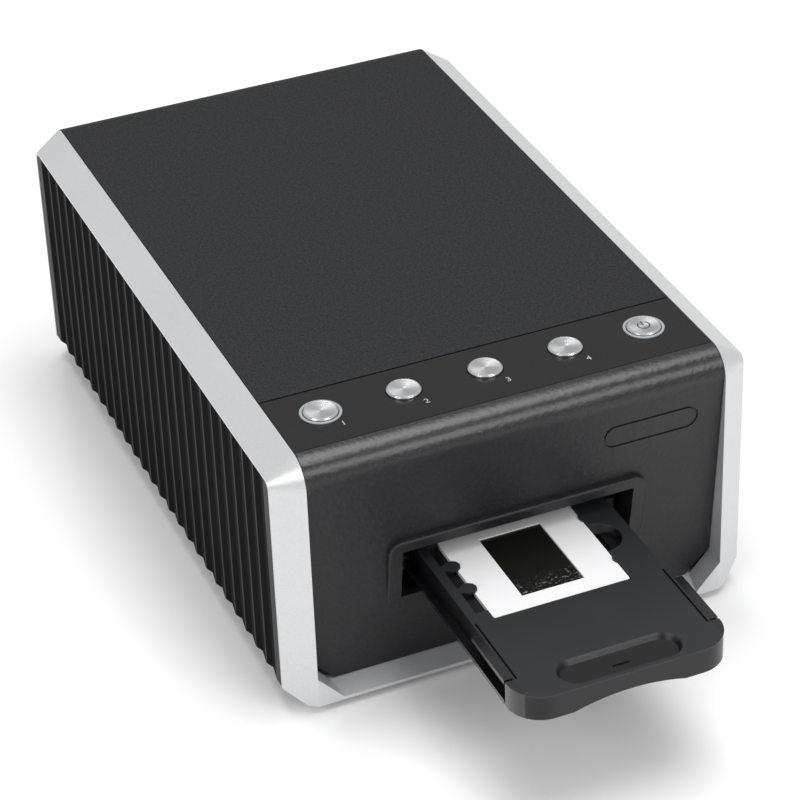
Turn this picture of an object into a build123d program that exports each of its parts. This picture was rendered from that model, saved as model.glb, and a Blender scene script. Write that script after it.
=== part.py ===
from build123d import *
from math import atan2, cos, degrees, pi, radians, sin, tan
import os

# Desktop 35 mm film and slide scanner with a motor-driven holder.
# Millimetres, +Z up, +Y to the rear, the slot faces -Y.
# Origin: on the desk, under the middle of the box round the body and its drawn-out holder.

os.makedirs("parts", exist_ok=True)

# ---------------------------------------------------------------- driving dimensions

# Body
body_width = 175.0
body_depth = 266.0
body_height = 98.5
foot_drop = 3.0             # the feet hold the body this far above the desk
wall = 2.4                  # moulded covers
seam = 0.3                  # gap between neighbouring covers
fit_gap = 0.3               # gap between a moving piece and its neighbour
seat_gap = 0.1              # gap round a seated piece
press_gap = 0.02            # round a piece pressed on a shaft or into a plate
running_gap = 0.05          # round a shaft that turns in its bush

# Silver side frames
bevel_width = 10.6          # sloping band, seen from above
bevel_drop = 6.8            # how far the band falls towards the side
frame_corner = 10.0         # radius of the upper corners
floor_bevel_width = 7.3     # the band is narrower along the desk
floor_bevel_rise = 6.6
frame_rim = 0.8             # rim left round the side panel
frame_ledge = 7.0           # ledge that the side panel lies on
panel_seat = 7.0            # depth of the recess for the side panel

# Pleated side panels
pleat_pitch = 10.05
pleat_depth = 1.2
pleat_front_share = 0.33    # forward-facing part of each pleat
pleat_ridge = 0.4           # blunted edge of each ridge
panel_margin = 2.6          # flat border before the first pleat
panel_gap = 0.2
panel_skin = 2.0

# Front
bezel_recess = 8.9          # the front leans back by this much at its foot
bezel_flat = 0.3            # flat left between the rolled edge and the seam
sill_lip = 1.3
sill_back_height = 3.3
gusset_width = 9.3
gusset_height = 10.3
badge_length = 36.0         # plain oval outline where a name plate would sit
badge_height = 9.2
badge_x = 49.5
badge_drop = 22.1           # below the body's top
badge_groove = 0.8
badge_depth = 0.5

# Slot and its hood
slot_side_gap = 4.7         # beside the holder
slot_over_gap = 6.0         # over the holder
slot_under_gap = 5.5
hood_side = 5.1
hood_top = 4.3
hood_foot = 1.9
hood_corner = 4.5
hood_edge = 0.8
hood_proud = 2.6
hood_foot_proud = 0.4
sleeve_wall = 1.6
sleeve_depth = 8.0

# Key strip
strip_front = 10.2          # behind the front plane
strip_length = 32.0
strip_seam = 0.8            # dark gap before the top cover
strip_thickness = 2.5
strip_rib = 4.0
key_count = 5
key_end_margin = 16.6       # last key's centre to the strip's end
key_setback = 2.3           # the keys lie behind the strip's middle
key_diameter = 12.0
key_proud = 1.2
key_edge = 0.5
key_dish = 0.35
key_travel = 0.6
key_flange = 0.9
key_flange_height = 1.6
stem_radius = 1.7
stem_reach = 0.6            # the stem's tip sits this deep in its switch at rest
ring_wall = 0.9
ring_proud = 0.3
ring_foot = 0.9
key_bar_drop = 1.9          # thicker bar that guides the keys
key_bar_edge = 2.0
key_bar_end = 3.0

# Key board
key_board_drop = 11.4       # under the strip
key_board_reach = 8.0
switch_size = 6.0
switch_height = 4.0
post_radius = 3.5
key_post_radius = 2.5

# Top cover and rear panel
cover_roll = 10.0
cover_drop = 15.0
cover_rib = 4.8
rear_recess = 1.2
rear_low = 1.0
rear_foot = 4.0
vent_width = 2.4
vent_length = 22.0
vent_pitch = 6.0
vent_count = 8
vent_x = 36.0
vent_height = 56.0          # above the body's underside
lock_inset = 18.6           # from the rear panel's end
lock_height = 24.0          # above the body's underside
lock_slot_width = 7.0
lock_slot_height = 3.2
lock_plate_margin = 5.5
lock_plate_thickness = 1.5

# Base tray and feet
tray_lift = 0.8             # underside of the tray above the frames' underside
tray_side_wall = 9.0
tray_front_wall = 5.0
foot_radius = 8.0
foot_well = 1.0
foot_edge = 0.8
foot_inset = 14.6
foot_front = 28.0
foot_rear = 24.0
case_screw_inset = 28.6
case_screw_front = 20.0
case_screw_rear = 34.0
case_head_radius = 3.2
case_head_height = 1.2
case_seat_depth = 1.4
screw_slot_width = 0.8
screw_slot_depth = 0.5

# Small screws
screw_radius = 1.1
screw_head_radius = 2.3
screw_head_height = 1.4
screw_bite = 4.0

# Film holder
holder_reach = 81.0         # the handle stands this far in front of the body at rest
film_height = 45.0          # film plane above the body's underside
film_seat = 2.0             # film plane below the holder's top
holder_height = 9.5
holder_wall = 1.6
tray_margin = 10.4          # from a centred slide mount to the holder's side
lip_reach = 3.1             # running lips stand out from the holder's sides
lip_thickness = 1.5
lip_gap = 0.9               # slit between the lips and the handle
deck_thickness = 4.4
mount_size = 50.0           # standard slide mount
mount_thickness = 1.5
mount_corner = 1.5
mount_window_width = 23.0
mount_window_length = 35.0
film_margin = 3.0           # film hidden in the mount
film_slit = 0.2
film_thickness = 0.16
pocket_gap = 0.3
pocket_web = 4.0
pocket_count = 4
pocket_front = 36.7         # front wall of the first pocket, ahead of the front plane
pocket_shift = -2.3         # the pockets lie left of the middle
pocket_depth = 2.15
window_margin = 1.0         # light window round the mount's own window
channel_width = 4.4         # sunk channel left of the pockets
channel_end = 5.0
notch_radius = 8.2
tab_radius = 3.0
tab_gap = 0.05
tab_half_pitch = 6.8
tab_reach = 2.1             # how far a tab reaches over the mount
right_tab_reach = 1.1
right_tab_half_pitch = 13.0
end_wall = 2.0
rear_cut = 1.2
handle_length = 12.5
handle_corner = 12.0
grip_half_width = 20.0
grip_rise = 2.8
upper_lip_end = 6.0         # the upper lips end this far ahead of the first pocket
lip_groove_width = 0.8
lip_groove_inset = 0.6
lip_groove_depth = 1.0
finger_length = 44.0
finger_width = 13.0
finger_depth = 1.8
finger_edge = 1.6
finger_slope = 35.0         # degrees
arrow_width = 6.0
arrow_side = 4.6
arrow_height = 0.5

# Guide rails
rail_gap = 0.4              # beside the running lips
rail_width = 3.1
rail_shelf = 1.5
rail_keeper = 1.7
rail_tongue_gap = 0.4
rail_overrun = 12.3         # behind the holder at rest
rail_leg = 6.0
rail_front_gap = 1.0
first_leg = 18.0            # behind the front plane
middle_leg = 100.0
rail_leg_gap = 2.0          # third leg's middle behind the optics bench

# Rack and gears
gear_module = 1.0           # rack and its pinion
train_module = 0.8          # reduction gears
pressure_angle = radians(20)
backlash = 0.12
pinion_teeth = 18
drive_teeth = 36
small_teeth = 14
large_teeth = 40
motor_teeth = 12
straight_flank_teeth = 20   # with more teeth than this the flanks are nearly straight
rack_width = 6.8
rack_sink = 0.2             # the teeth stay this far above the holder's underside
rack_front = 13.0           # behind the handle
rack_rear = 6.0
pinion_side_gap = 0.6
pinion_hub_radius = 4.0
pinion_hub = 4.0
gear_width = 3.5
gear_side_gap = 1.0
gear_front_gap = 1.2        # between the drive gear and the front
gear_hub = 2.0
gear_hub_radius = 5.0
reducer_angle = -18.0
motor_angle = -8.0

# Shafts, bushes and plates
shaft_radius = 2.0
shaft_end = 1.0
shaft_edge = 0.3
clip_thickness = 0.8
clip_reach = 2.2
bush_wall = 1.5
bush_flange = 3.0
bush_flange_width = 1.0
pin_radius = 1.5
pin_head = 1.5
pin_head_thickness = 1.2
plate_thickness = 1.2
plate_side_gap = 4.0        # between the left rail and the gear plate
plate_gear_gap = 1.6
plate_front = 7.0
plate_rear = 9.0
plate_top = 1.0
plate_foot = 9.0
plate_foot_width = 12.0
bracket_gap = 2.0
bracket_reach = 7.0
bracket_foot = 12.0

# Motor
motor_diameter = 25.0
motor_length = 17.0
motor_shaft_radius = 1.0
motor_shaft_end = 2.0
motor_boss_radius = 4.0
motor_ear = 3.0
motor_ear_width = 7.0
motor_ear_thickness = 1.0

# Optics
scan_y = 43.0               # scan line behind the front plane
optical_axis_height = 20.0
lens_y = 118.0
sensor_y = 182.0
bench_half = 21.0
bench_wall = 2.0
bench_front = 12.0
bench_rear = 6.0
bench_rise = 12.0           # above the optical axis
mirror_length = 20.0
mirror_width = 30.0
mirror_thickness = 2.0
mirror_rise = 8.0
lens_radius = 9.0
lens_length = 30.0
lens_wall = 2.4
saddle_length = 16.0
glass_thickness = 4.0
glass_inset = 2.0
sensor_length = 32.0
sensor_height = 10.0
sensor_thickness = 3.0
sensor_window_length = 26.0
sensor_window_height = 4.0
sensor_window_depth = 0.8
sensor_board_length = 34.0
sensor_board_rise = 13.0

# Lamp over the scan line
bridge_clearance = 3.0
bridge_thickness = 2.0
bridge_half = 15.0
bridge_window_half = 16.0
bridge_window_reach = 5.0
diffuser_half = 18.0
diffuser_reach = 7.0
diffuser_thickness = 2.0
lamp_half = 24.0
lamp_reach = 10.0
lamp_height = 18.0
lamp_wall = 1.6
lamp_board_gap = 0.2
led_length = 3.5
led_width = 2.8
led_height = 1.2
led_pitch = 7.0
led_row_pitch = 6.0
led_columns = 5
led_rows = 2

# Fork sensor beside the holder
fork_y = 78.0
fork_length = 12.0
fork_width = 5.8
fork_height = 8.0
fork_slot = 4.0
fork_wall = 2.0
fork_edge = 0.2             # from the rail's running face

# Main board and sockets
board_thickness = 1.6
board_lift = 10.0           # above the body's underside
board_edge = 6.6
board_front_gap = 12.0      # behind the optics bench
board_rear_gap = 0.6
post_inset = 6.0
post_front = 5.0
post_rear = 9.0
socket_height = 11.0
socket_gap = 0.3
socket_recess = 0.2
dc_inset = 26.6             # from the rear panel's end
dc_width = 9.2
dc_length = 14.0
dc_mouth_radius = 3.2
dc_pin_radius = 1.05
dc_mouth_depth = 9.5
usb_pitch = 26.0            # from the power inlet
usb_width = 12.0
usb_length = 16.0
usb_mouth_width = 8.6
usb_mouth_height = 7.9
usb_mouth_corner = 1.6
usb_mouth_depth = 9.0
usb_tongue_width = 5.6
usb_tongue_height = 3.2
chip_thickness = 2.0
processor_size = 20.0
memory_size = 14.0
driver_size = 12.0
processor_x = 4.0
memory_x = 30.0
driver_gap = 8.0            # left of the USB socket's middle
chip_front = 4.0
capacitor_radius = 4.0
capacitor_height = 12.0
capacitor_offset = 5.0
capacitor_front = 9.0
capacitor_edge = 14.0

# ---------------------------------------------------------------- derived places

half_width = body_width / 2
frame_x = half_width - bevel_width             # inner faces of the side frames
cover_half = frame_x - seam                    # half width of every cover between them
front_y = (holder_reach - body_depth) / 2
rear_y = front_y + body_depth
mid_y = (front_y + rear_y) / 2
base_z = foot_drop
top_z = base_z + body_height
lean = atan2(bezel_recess, body_height)

floor_z = base_z + tray_lift                   # underside of the base tray
floor_top_z = floor_z + wall

film_z = base_z + film_height
holder_top_z = film_z + film_seat
holder_low_z = holder_top_z - holder_height
deck_low_z = holder_top_z - deck_thickness
tray_half = mount_size / 2 + tray_margin
lip_half = tray_half + lip_reach
pocket_size = mount_size + 2 * pocket_gap
pocket_step = pocket_size + pocket_web
pocket_floor_z = holder_top_z - pocket_depth
holder_front_y = front_y - holder_reach
handle_rear_y = holder_front_y + handle_length
pockets_front_y = front_y - pocket_front
holder_rear_y = pockets_front_y + pocket_count * pocket_step + end_wall
pocket_ys = [pockets_front_y + pocket_size / 2 + i * pocket_step for i in range(pocket_count)]
axis_x = pocket_shift                          # optical axis

slot_half = lip_half + slot_side_gap
slot_low_z = holder_low_z - slot_under_gap
slot_top_z = holder_top_z + slot_over_gap

bench_rear_y = front_y + sensor_y + bench_rear


def front_face_y(z):
    """Y of the leaning front face at height z."""
    return front_y + (top_z - z) * tan(lean)


def finish(piece, name):
    """Label a finished piece and write it."""
    piece.part.label = name
    export_step(piece.part, f"parts/{name}.step")


def span(low, high):
    """Middle and length of an interval."""
    return (low + high) / 2, high - low


def block(x, y, z, mode=Mode.ADD):
    """Box between the limits given as (low, high) pairs."""
    (cx, dx), (cy, dy), (cz, dz) = span(*x), span(*y), span(*z)
    with Locations((cx, cy, cz)):
        return Box(dx, dy, dz, mode=mode)


def either_side(inner, outer):
    """The X limits of a pair of mirrored pieces."""
    return [(-outer, -inner), (inner, outer)]


def facing_front(y):
    """Sketch plane seen from the front: X to the right, Z up, material grows forwards."""
    return Plane.XZ.offset(-y)


def facing_side(x):
    """Sketch plane seen from the right: Y to the right, Z up, material grows to +X."""
    return Plane.YZ.offset(x)


def screw(seat, length, head_radius=screw_head_radius, head_height=screw_head_height):
    """Screw on its seat plane: the shank runs along the plane's normal, the head behind it."""
    with BuildSketch(seat) as shank:
        RegularPolygon(screw_radius, 8)
    extrude(shank.sketch, amount=length)
    with BuildSketch(seat) as head:
        RegularPolygon(head_radius, 8)
    extrude(head.sketch, amount=-head_height)


def screw_hole(seat, length):
    """Clearance hole for such a screw."""
    with BuildSketch(seat) as hole:
        RegularPolygon(screw_radius + seat_gap, 8)
    extrude(hole.sketch, amount=length, mode=Mode.SUBTRACT)


# ---------------------------------------------------------------- side frames

field_front_y = front_y + bevel_drop
field_rear_y = rear_y - bevel_drop
field_low_z = base_z + floor_bevel_rise
field_top_z = top_z - bevel_drop
field_corner = frame_corner - bevel_drop
skirt = 2 * bevel_drop                         # the band's slope runs on below the desk side


def field_outline(x, inset, low_z):
    """Outline of the side panel's field at x, inset from the frame's edge, down to low_z."""
    with BuildSketch(facing_side(x)) as outline:
        y, length = span(field_front_y + inset, field_rear_y - inset)
        z, height = span(low_z, field_top_z - inset)
        with Locations((y, z)):
            Rectangle(length, height)
        fillet(outline.vertices().group_by(Axis.Y)[-1], field_corner)
    return outline.sketch


window_inset = frame_rim + frame_ledge
window_low_z = field_low_z + window_inset

with BuildPart() as right_side_frame:
    with BuildSketch(facing_side(frame_x)) as silhouette:
        with Locations((mid_y, (top_z + base_z - skirt) / 2)):
            Rectangle(body_depth, body_height + skirt)
        fillet(silhouette.vertices().group_by(Axis.Y)[-1], frame_corner)
    extrude(amount=bevel_width, taper=degrees(atan2(bevel_drop, bevel_width)))
    # The band along the desk has its own slope
    with BuildSketch(facing_front(rear_y)) as below:
        with BuildLine():
            Polyline(
                (frame_x - wall, base_z),
                (half_width - floor_bevel_width, base_z),
                (half_width, field_low_z),
                (half_width + wall, field_low_z),
                (half_width + wall, base_z - 2 * skirt),
                (frame_x - wall, base_z - 2 * skirt),
                close=True,
            )
        make_face()
    extrude(amount=body_depth, mode=Mode.SUBTRACT)
    # Recess for the side panel, open along the desk, then the window inside its ledge
    extrude(field_outline(half_width, frame_rim, base_z - skirt), amount=-panel_seat, mode=Mode.SUBTRACT)
    extrude(field_outline(half_width, window_inset, window_low_z), amount=-bevel_width, mode=Mode.SUBTRACT)
finish(right_side_frame, "right_side_frame")

with BuildPart() as left_side_frame:
    mirror(right_side_frame.part, about=Plane.YZ)
finish(left_side_frame, "left_side_frame")

# ---------------------------------------------------------------- pleated side panels

panel_out_x = half_width - panel_gap
panel_back_x = half_width - panel_seat
valley_x = panel_out_x - pleat_depth
panel_hollow = valley_x - panel_skin - panel_back_x
panel_front_y = field_front_y + frame_rim + panel_gap
panel_rear_y = field_rear_y - frame_rim - panel_gap
pleat_count = int((panel_rear_y - panel_front_y - 2 * panel_margin) / pleat_pitch)
pleats_front_y = (panel_front_y + panel_rear_y - pleat_count * pleat_pitch) / 2
ridges = [pleats_front_y + i * pleat_pitch for i in range(pleat_count + 1)]

with BuildPart() as right_side_panel:
    with BuildSketch(Plane.XY.offset(field_low_z)) as plan:
        zigzag = [(panel_out_x, ridges[0])]
        for ridge_y in ridges[1:]:
            zigzag.append((valley_x, ridge_y - pleat_front_share * pleat_pitch))
            zigzag.append((panel_out_x, ridge_y))
        with BuildLine():
            Polyline(
                (panel_back_x, panel_front_y),
                (panel_out_x, panel_front_y),
                *zigzag,
                (panel_out_x, panel_rear_y),
                (panel_back_x, panel_rear_y),
                close=True,
            )
        make_face()
        outer_points = plan.vertices().group_by(Axis.X)[-1].sort_by(Axis.Y)
        chamfer(outer_points[2:-2], pleat_ridge)
    extrude(amount=field_top_z - field_low_z)
    field = field_outline(panel_back_x, frame_rim + panel_gap, field_low_z)
    extrude(field, amount=panel_seat, mode=Mode.INTERSECT)
    # Hollow back inside the seat
    extrude(field_outline(panel_back_x, window_inset, window_low_z), amount=panel_hollow, mode=Mode.SUBTRACT)
finish(right_side_panel, "right_side_panel")

with BuildPart() as left_side_panel:
    mirror(right_side_panel.part, about=Plane.YZ)
finish(left_side_panel, "left_side_panel")

# ---------------------------------------------------------------- front sill and bezel

sill_rear_y = front_y + bezel_recess + wall
sill_back_z = base_z + sill_back_height

with BuildPart() as front_sill:
    with BuildSketch(facing_side(0)) as section:
        with BuildLine():
            Polyline(
                (front_y, base_z),
                (sill_rear_y, base_z),
                (sill_rear_y, sill_back_z),
                (front_y + bezel_recess, sill_back_z),
                (front_y, base_z + sill_lip),
                close=True,
            )
        make_face()
    extrude(amount=frame_x, both=True)
    # Slanted corners between the sill and the legs of the side frames
    with BuildSketch(facing_front(front_y + bezel_recess)) as gusset:
        with BuildLine():
            Polyline(
                (frame_x, base_z + sill_lip),
                (frame_x, base_z + sill_lip + gusset_height),
                (frame_x - gusset_width, base_z + sill_lip),
                close=True,
            )
        make_face()
        mirror(about=Plane.YZ)
    extrude(amount=bezel_recess)
finish(front_sill, "front_sill")

bezel_seam_y = front_y + strip_front - seam
bezel_low_z = sill_back_z + seam
inner_lean_y = wall / cos(lean)                # the wall measured along Y
# The rolled edge takes the whole top of the bezel but a small flat
bezel_roll = (strip_front - seam - bezel_flat) * tan((pi / 2 - lean) / 2)

with BuildPart() as front_bezel:
    with BuildSketch(facing_side(0)) as section:
        with BuildLine():
            Polyline(
                (bezel_seam_y, top_z),
                (front_y, top_z),
                (front_face_y(bezel_low_z), bezel_low_z),
                (front_face_y(bezel_low_z) + inner_lean_y, bezel_low_z),
                (front_face_y(top_z - wall) + inner_lean_y, top_z - wall),
                (bezel_seam_y, top_z - wall),
                close=True,
            )
        make_face()
        outer_corner = section.vertices().group_by(Axis.X)[0]
        fillet(outer_corner, bezel_roll)
        inner_corner = section.vertices().sort_by_distance((front_y + inner_lean_y, top_z - wall))[0]
        fillet(inner_corner, bezel_roll - wall)
    extrude(amount=cover_half, both=True)
    # Lower corners follow the slanted corners of the sill
    with BuildSketch(facing_front(sill_rear_y)) as corners:
        with BuildLine():
            Polyline(
                (cover_half + seam, bezel_low_z - seam),
                (cover_half - gusset_width, bezel_low_z - seam),
                (cover_half + seam, bezel_low_z + gusset_height),
                close=True,
            )
        make_face()
        mirror(about=Plane.YZ)
    extrude(amount=bezel_recess + wall, mode=Mode.SUBTRACT)
    # Opening for the slot's sleeve
    with BuildSketch(facing_front(sill_rear_y)) as slot_cut:
        z, height = span(slot_low_z - sleeve_wall - seam, slot_top_z + sleeve_wall + seam)
        with Locations((0, z)):
            Rectangle(2 * (slot_half + sleeve_wall + seam), height)
    extrude(amount=bezel_recess + wall, mode=Mode.SUBTRACT)
    # Plain oval outline where a name plate would sit
    badge_z = top_z - badge_drop
    badge_plane = Plane(
        origin=(badge_x, front_face_y(badge_z), badge_z),
        x_dir=(1, 0, 0),
        z_dir=(0, -cos(lean), -sin(lean)),
    )
    with BuildSketch(badge_plane):
        SlotOverall(badge_length, badge_height)
        SlotOverall(badge_length - 2 * badge_groove, badge_height - 2 * badge_groove, mode=Mode.SUBTRACT)
    extrude(amount=-badge_depth, mode=Mode.SUBTRACT)
finish(front_bezel, "front_bezel")

# ---------------------------------------------------------------- slot surround

hood_half = slot_half + hood_side
hood_top_z = slot_top_z + hood_top
hood_low_z = slot_low_z - hood_foot
sleeve_low_z = slot_low_z - sleeve_wall
sleeve_top_z = slot_top_z + sleeve_wall
sleeve_rear_y = front_face_y(slot_low_z) + sleeve_depth

with BuildPart() as slot_surround:
    # Hood: a wedge on the leaning front, proud at the top and nearly flush at its foot
    with BuildSketch(facing_side(0)) as wedge:
        with BuildLine():
            Polyline(
                (front_face_y(hood_top_z) - hood_proud, hood_top_z),
                (front_face_y(hood_top_z), hood_top_z),
                (front_face_y(hood_low_z), hood_low_z),
                (front_face_y(hood_low_z) - hood_foot_proud, hood_low_z),
                close=True,
            )
        make_face()
    extrude(amount=hood_half, both=True)
    with BuildSketch(facing_front(sill_rear_y)) as face:
        z, height = span(hood_low_z, hood_top_z)
        with Locations((0, z)):
            Rectangle(2 * hood_half, height)
        fillet(face.vertices().group_by(Axis.Y)[-1], hood_corner)
    extrude(amount=bezel_recess + wall + hood_proud, mode=Mode.INTERSECT)
    # Sleeve through the bezel
    with BuildSketch(facing_side(0)):
        with BuildLine():
            Polyline(
                (front_face_y(sleeve_top_z), sleeve_top_z),
                (sleeve_rear_y, sleeve_top_z),
                (sleeve_rear_y, sleeve_low_z),
                (front_face_y(sleeve_low_z), sleeve_low_z),
                close=True,
            )
        make_face()
    extrude(amount=slot_half + sleeve_wall, both=True)
    with BuildSketch(facing_front(sleeve_rear_y)):
        z, height = span(slot_low_z, slot_top_z)
        with Locations((0, z)):
            Rectangle(2 * slot_half, height)
    extrude(amount=sleeve_depth + bezel_recess + hood_proud, mode=Mode.SUBTRACT)
    upper_edge = slot_surround.faces().sort_by(Axis.Z)[-1].edges().sort_by(Axis.Y)[0]
    fillet(upper_edge, hood_edge)
finish(slot_surround, "slot_surround")

# ---------------------------------------------------------------- key strip

strip_front_y = front_y + strip_front
strip_rear_y = strip_front_y + strip_length
strip_low_z = top_z - strip_thickness
key_bar_low_z = strip_low_z - key_bar_drop
keys_y = (strip_front_y + strip_rear_y) / 2 + key_setback
key_pitch = 2 * (cover_half - key_end_margin) / (key_count - 1)
key_xs = [(i - (key_count - 1) / 2) * key_pitch for i in range(key_count)]
key_post_xs = [x + key_pitch / 2 for x in key_xs[:-1]]
key_radius = key_diameter / 2
plain_bore = key_radius + fit_gap
ring_radius = plain_bore + ring_wall
ring_bore = ring_radius + seat_gap
ring_foot_radius = ring_radius + ring_foot
key_bar_half = key_xs[-1] + ring_foot_radius + key_bar_end
key_bar_reach = ring_foot_radius + key_bar_edge

key_board_top_z = strip_low_z - key_board_drop
key_board_low_z = key_board_top_z - board_thickness
switch_top_z = key_board_top_z + switch_height


def key_prism(x, z, radius, height, mode=Mode.ADD):
    """Upright eight-sided bar on the axis of the key at x, from z up."""
    with BuildSketch(Plane((x, keys_y, z))) as outline:
        RegularPolygon(radius, 8)
    extrude(outline.sketch, amount=height, mode=mode)


with BuildPart() as button_strip:
    block((-cover_half, cover_half), (strip_front_y, strip_rear_y), (strip_low_z, top_z))
    # Thicker bar that guides the keys
    bar_y = (keys_y - key_bar_reach, keys_y + key_bar_reach)
    block((-key_bar_half, key_bar_half), bar_y, (key_bar_low_z, strip_low_z))
    # Stiffening ribs along both edges
    for rib_y in (strip_front_y, strip_rear_y - wall):
        block((-cover_half, cover_half), (rib_y, rib_y + wall), (strip_low_z - strip_rib, strip_low_z))
    # Posts that carry the key board
    with BuildSketch(Plane.XY.offset(key_board_top_z)):
        with Locations(*[(x, keys_y) for x in key_post_xs]):
            RegularPolygon(key_post_radius, 6)
    extrude(amount=key_bar_low_z - key_board_top_z)
    with Locations(*[(x, keys_y, top_z) for x in key_xs[1:-1]]):
        Hole(plain_bore, depth=top_z - key_bar_low_z)
    # The first and last key stand in light rings, whose feet sit in the bar
    with Locations(*[(x, keys_y, top_z) for x in (key_xs[0], key_xs[-1])]):
        Hole(ring_bore, depth=top_z - key_bar_low_z)
    for ring_x in (key_xs[0], key_xs[-1]):
        foot_radius_free = ring_foot_radius + seat_gap
        key_prism(ring_x, key_bar_low_z, foot_radius_free, ring_foot, mode=Mode.SUBTRACT)
finish(button_strip, "button_strip")


for ring_x, ring_name in ((key_xs[0], "left_light_ring"), (key_xs[-1], "right_light_ring")):
    with BuildPart() as light_ring:
        # Eight-sided foot, so that the ring can't turn
        key_prism(ring_x, key_bar_low_z, ring_foot_radius, ring_foot)
        with Locations((ring_x, keys_y, key_bar_low_z)):
            ring_height = top_z + ring_proud - key_bar_low_z
            Cylinder(ring_radius, ring_height, align=(Align.CENTER, Align.CENTER, Align.MIN))
        with Locations((ring_x, keys_y, top_z + ring_proud)):
            Hole(plain_bore, depth=ring_height)
    finish(light_ring, ring_name)

# ---------------------------------------------------------------- keys

crown_z = top_z + key_proud
flange_top_z = key_bar_low_z - fit_gap
flange_low_z = flange_top_z - key_flange_height
stem_low_z = switch_top_z - stem_reach

key_names = ["scan_button_1", "scan_button_2", "scan_button_3", "scan_button_4", "power_button"]
for key_x, key_name in zip(key_xs, key_names):
    with BuildPart() as key:
        # Stem and flange, then the round key with its dished crown
        key_prism(key_x, stem_low_z, stem_radius, flange_top_z - stem_low_z)
        key_prism(key_x, flange_low_z, key_radius + key_flange, key_flange_height)
        with BuildSketch(facing_front(keys_y)) as section:
            with BuildLine():
                Polyline(
                    (key_x, flange_top_z),
                    (key_x + key_radius, flange_top_z),
                    (key_x + key_radius, crown_z - key_edge),
                    (key_x + key_radius - key_edge, crown_z),
                    (key_x, crown_z - key_dish),
                    close=True,
                )
            make_face()
        revolve(axis=Axis((key_x, keys_y, 0), (0, 0, 1)))
    finish(key, key_name)

# ---------------------------------------------------------------- key board under the strip

key_board_half = key_xs[-1] + key_board_reach

with BuildPart() as key_board:
    board_y = (keys_y - key_board_reach, keys_y + key_board_reach)
    block((-key_board_half, key_board_half), board_y, (key_board_low_z, key_board_top_z))
    for post_x in key_post_xs:
        screw_hole(Plane((post_x, keys_y, key_board_low_z)), board_thickness)
finish(key_board, "key_board")

with BuildPart() as key_switches:
    with BuildSketch(Plane.XY.offset(key_board_top_z)):
        with Locations(*[(x, keys_y) for x in key_xs]):
            Rectangle(switch_size, switch_size)
    extrude(amount=switch_height)
    # Square wells for the stems
    with BuildSketch(Plane.XY.offset(switch_top_z)):
        with Locations(*[(x, keys_y) for x in key_xs]):
            Rectangle(2 * (stem_radius + fit_gap), 2 * (stem_radius + fit_gap))
    extrude(amount=-(stem_reach + key_travel + fit_gap), mode=Mode.SUBTRACT)
finish(key_switches, "key_switches")

with BuildPart() as key_board_screws:
    for post_x in key_post_xs:
        screw(Plane((post_x, keys_y, key_board_low_z)), board_thickness)
finish(key_board_screws, "key_board_screws")

# ---------------------------------------------------------------- top cover and rear panel

cover_front_y = strip_rear_y + strip_seam
cover_low_z = top_z - cover_drop
cover_rib_z = (top_z - wall - cover_rib, top_z - wall)

with BuildPart() as top_cover:
    with BuildSketch(facing_side(0)) as section:
        with BuildLine():
            Polyline(
                (cover_front_y, top_z),
                (rear_y, top_z),
                (rear_y, cover_low_z),
                (rear_y - wall, cover_low_z),
                (rear_y - wall, top_z - wall),
                (cover_front_y, top_z - wall),
                close=True,
            )
        make_face()
        outer_corner = section.vertices().sort_by_distance((rear_y, top_z))[0]
        fillet(outer_corner, cover_roll)
        inner_corner = section.vertices().sort_by_distance((rear_y - wall, top_z - wall))[0]
        fillet(inner_corner, cover_roll - wall)
    extrude(amount=cover_half, both=True)
    # Turned-down edges inside the side frames and along the front
    for edge_x in either_side(cover_half - wall, cover_half):
        block(edge_x, (cover_front_y, rear_y - cover_roll), cover_rib_z)
    block((-cover_half, cover_half), (cover_front_y, cover_front_y + wall), cover_rib_z)
finish(top_cover, "top_cover")

rear_face_y = rear_y - rear_recess
rear_inner_y = rear_face_y - wall
rear_top_z = cover_low_z - seam

main_board_z = base_z + board_lift
main_board_top_z = main_board_z + board_thickness
socket_top_z = main_board_top_z + socket_height
socket_z = main_board_top_z + socket_height / 2
dc_x = dc_inset - cover_half
usb_x = dc_x + usb_pitch
lock_x = cover_half - lock_inset
lock_z = base_z + lock_height

with BuildPart() as rear_panel:
    block((-cover_half, cover_half), (rear_inner_y, rear_face_y), (base_z + rear_low, rear_top_z))
    with BuildSketch(facing_front(rear_face_y)):
        with Locations((usb_x, socket_z)):
            Rectangle(usb_width + 2 * socket_gap, socket_height + 2 * socket_gap)
        with Locations((dc_x, socket_z)):
            Rectangle(dc_width + 2 * socket_gap, socket_height + 2 * socket_gap)
        with Locations((lock_x, lock_z)):
            Rectangle(lock_slot_width, lock_slot_height)
        with Locations((-vent_x, base_z + vent_height), (vent_x, base_z + vent_height)):
            with GridLocations(vent_pitch, 0, vent_count, 1):
                Rectangle(vent_width, vent_length)
    extrude(amount=wall, mode=Mode.SUBTRACT)
    # Turned edge that stands on the base tray
    foot_y = (rear_inner_y - rear_foot, rear_inner_y)
    block((-cover_half, cover_half), foot_y, (floor_top_z, floor_top_z + wall))
finish(rear_panel, "rear_panel")

with BuildPart() as lock_plate:
    with BuildSketch(facing_front(rear_inner_y)):
        with Locations((lock_x, lock_z)):
            plate_height = lock_slot_height + 2 * lock_plate_margin
            Rectangle(lock_slot_width + 2 * lock_plate_margin, plate_height)
            Rectangle(lock_slot_width, lock_slot_height, mode=Mode.SUBTRACT)
    extrude(amount=lock_plate_thickness)
finish(lock_plate, "lock_plate")

# ---------------------------------------------------------------- base tray, feet, case screws

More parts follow.
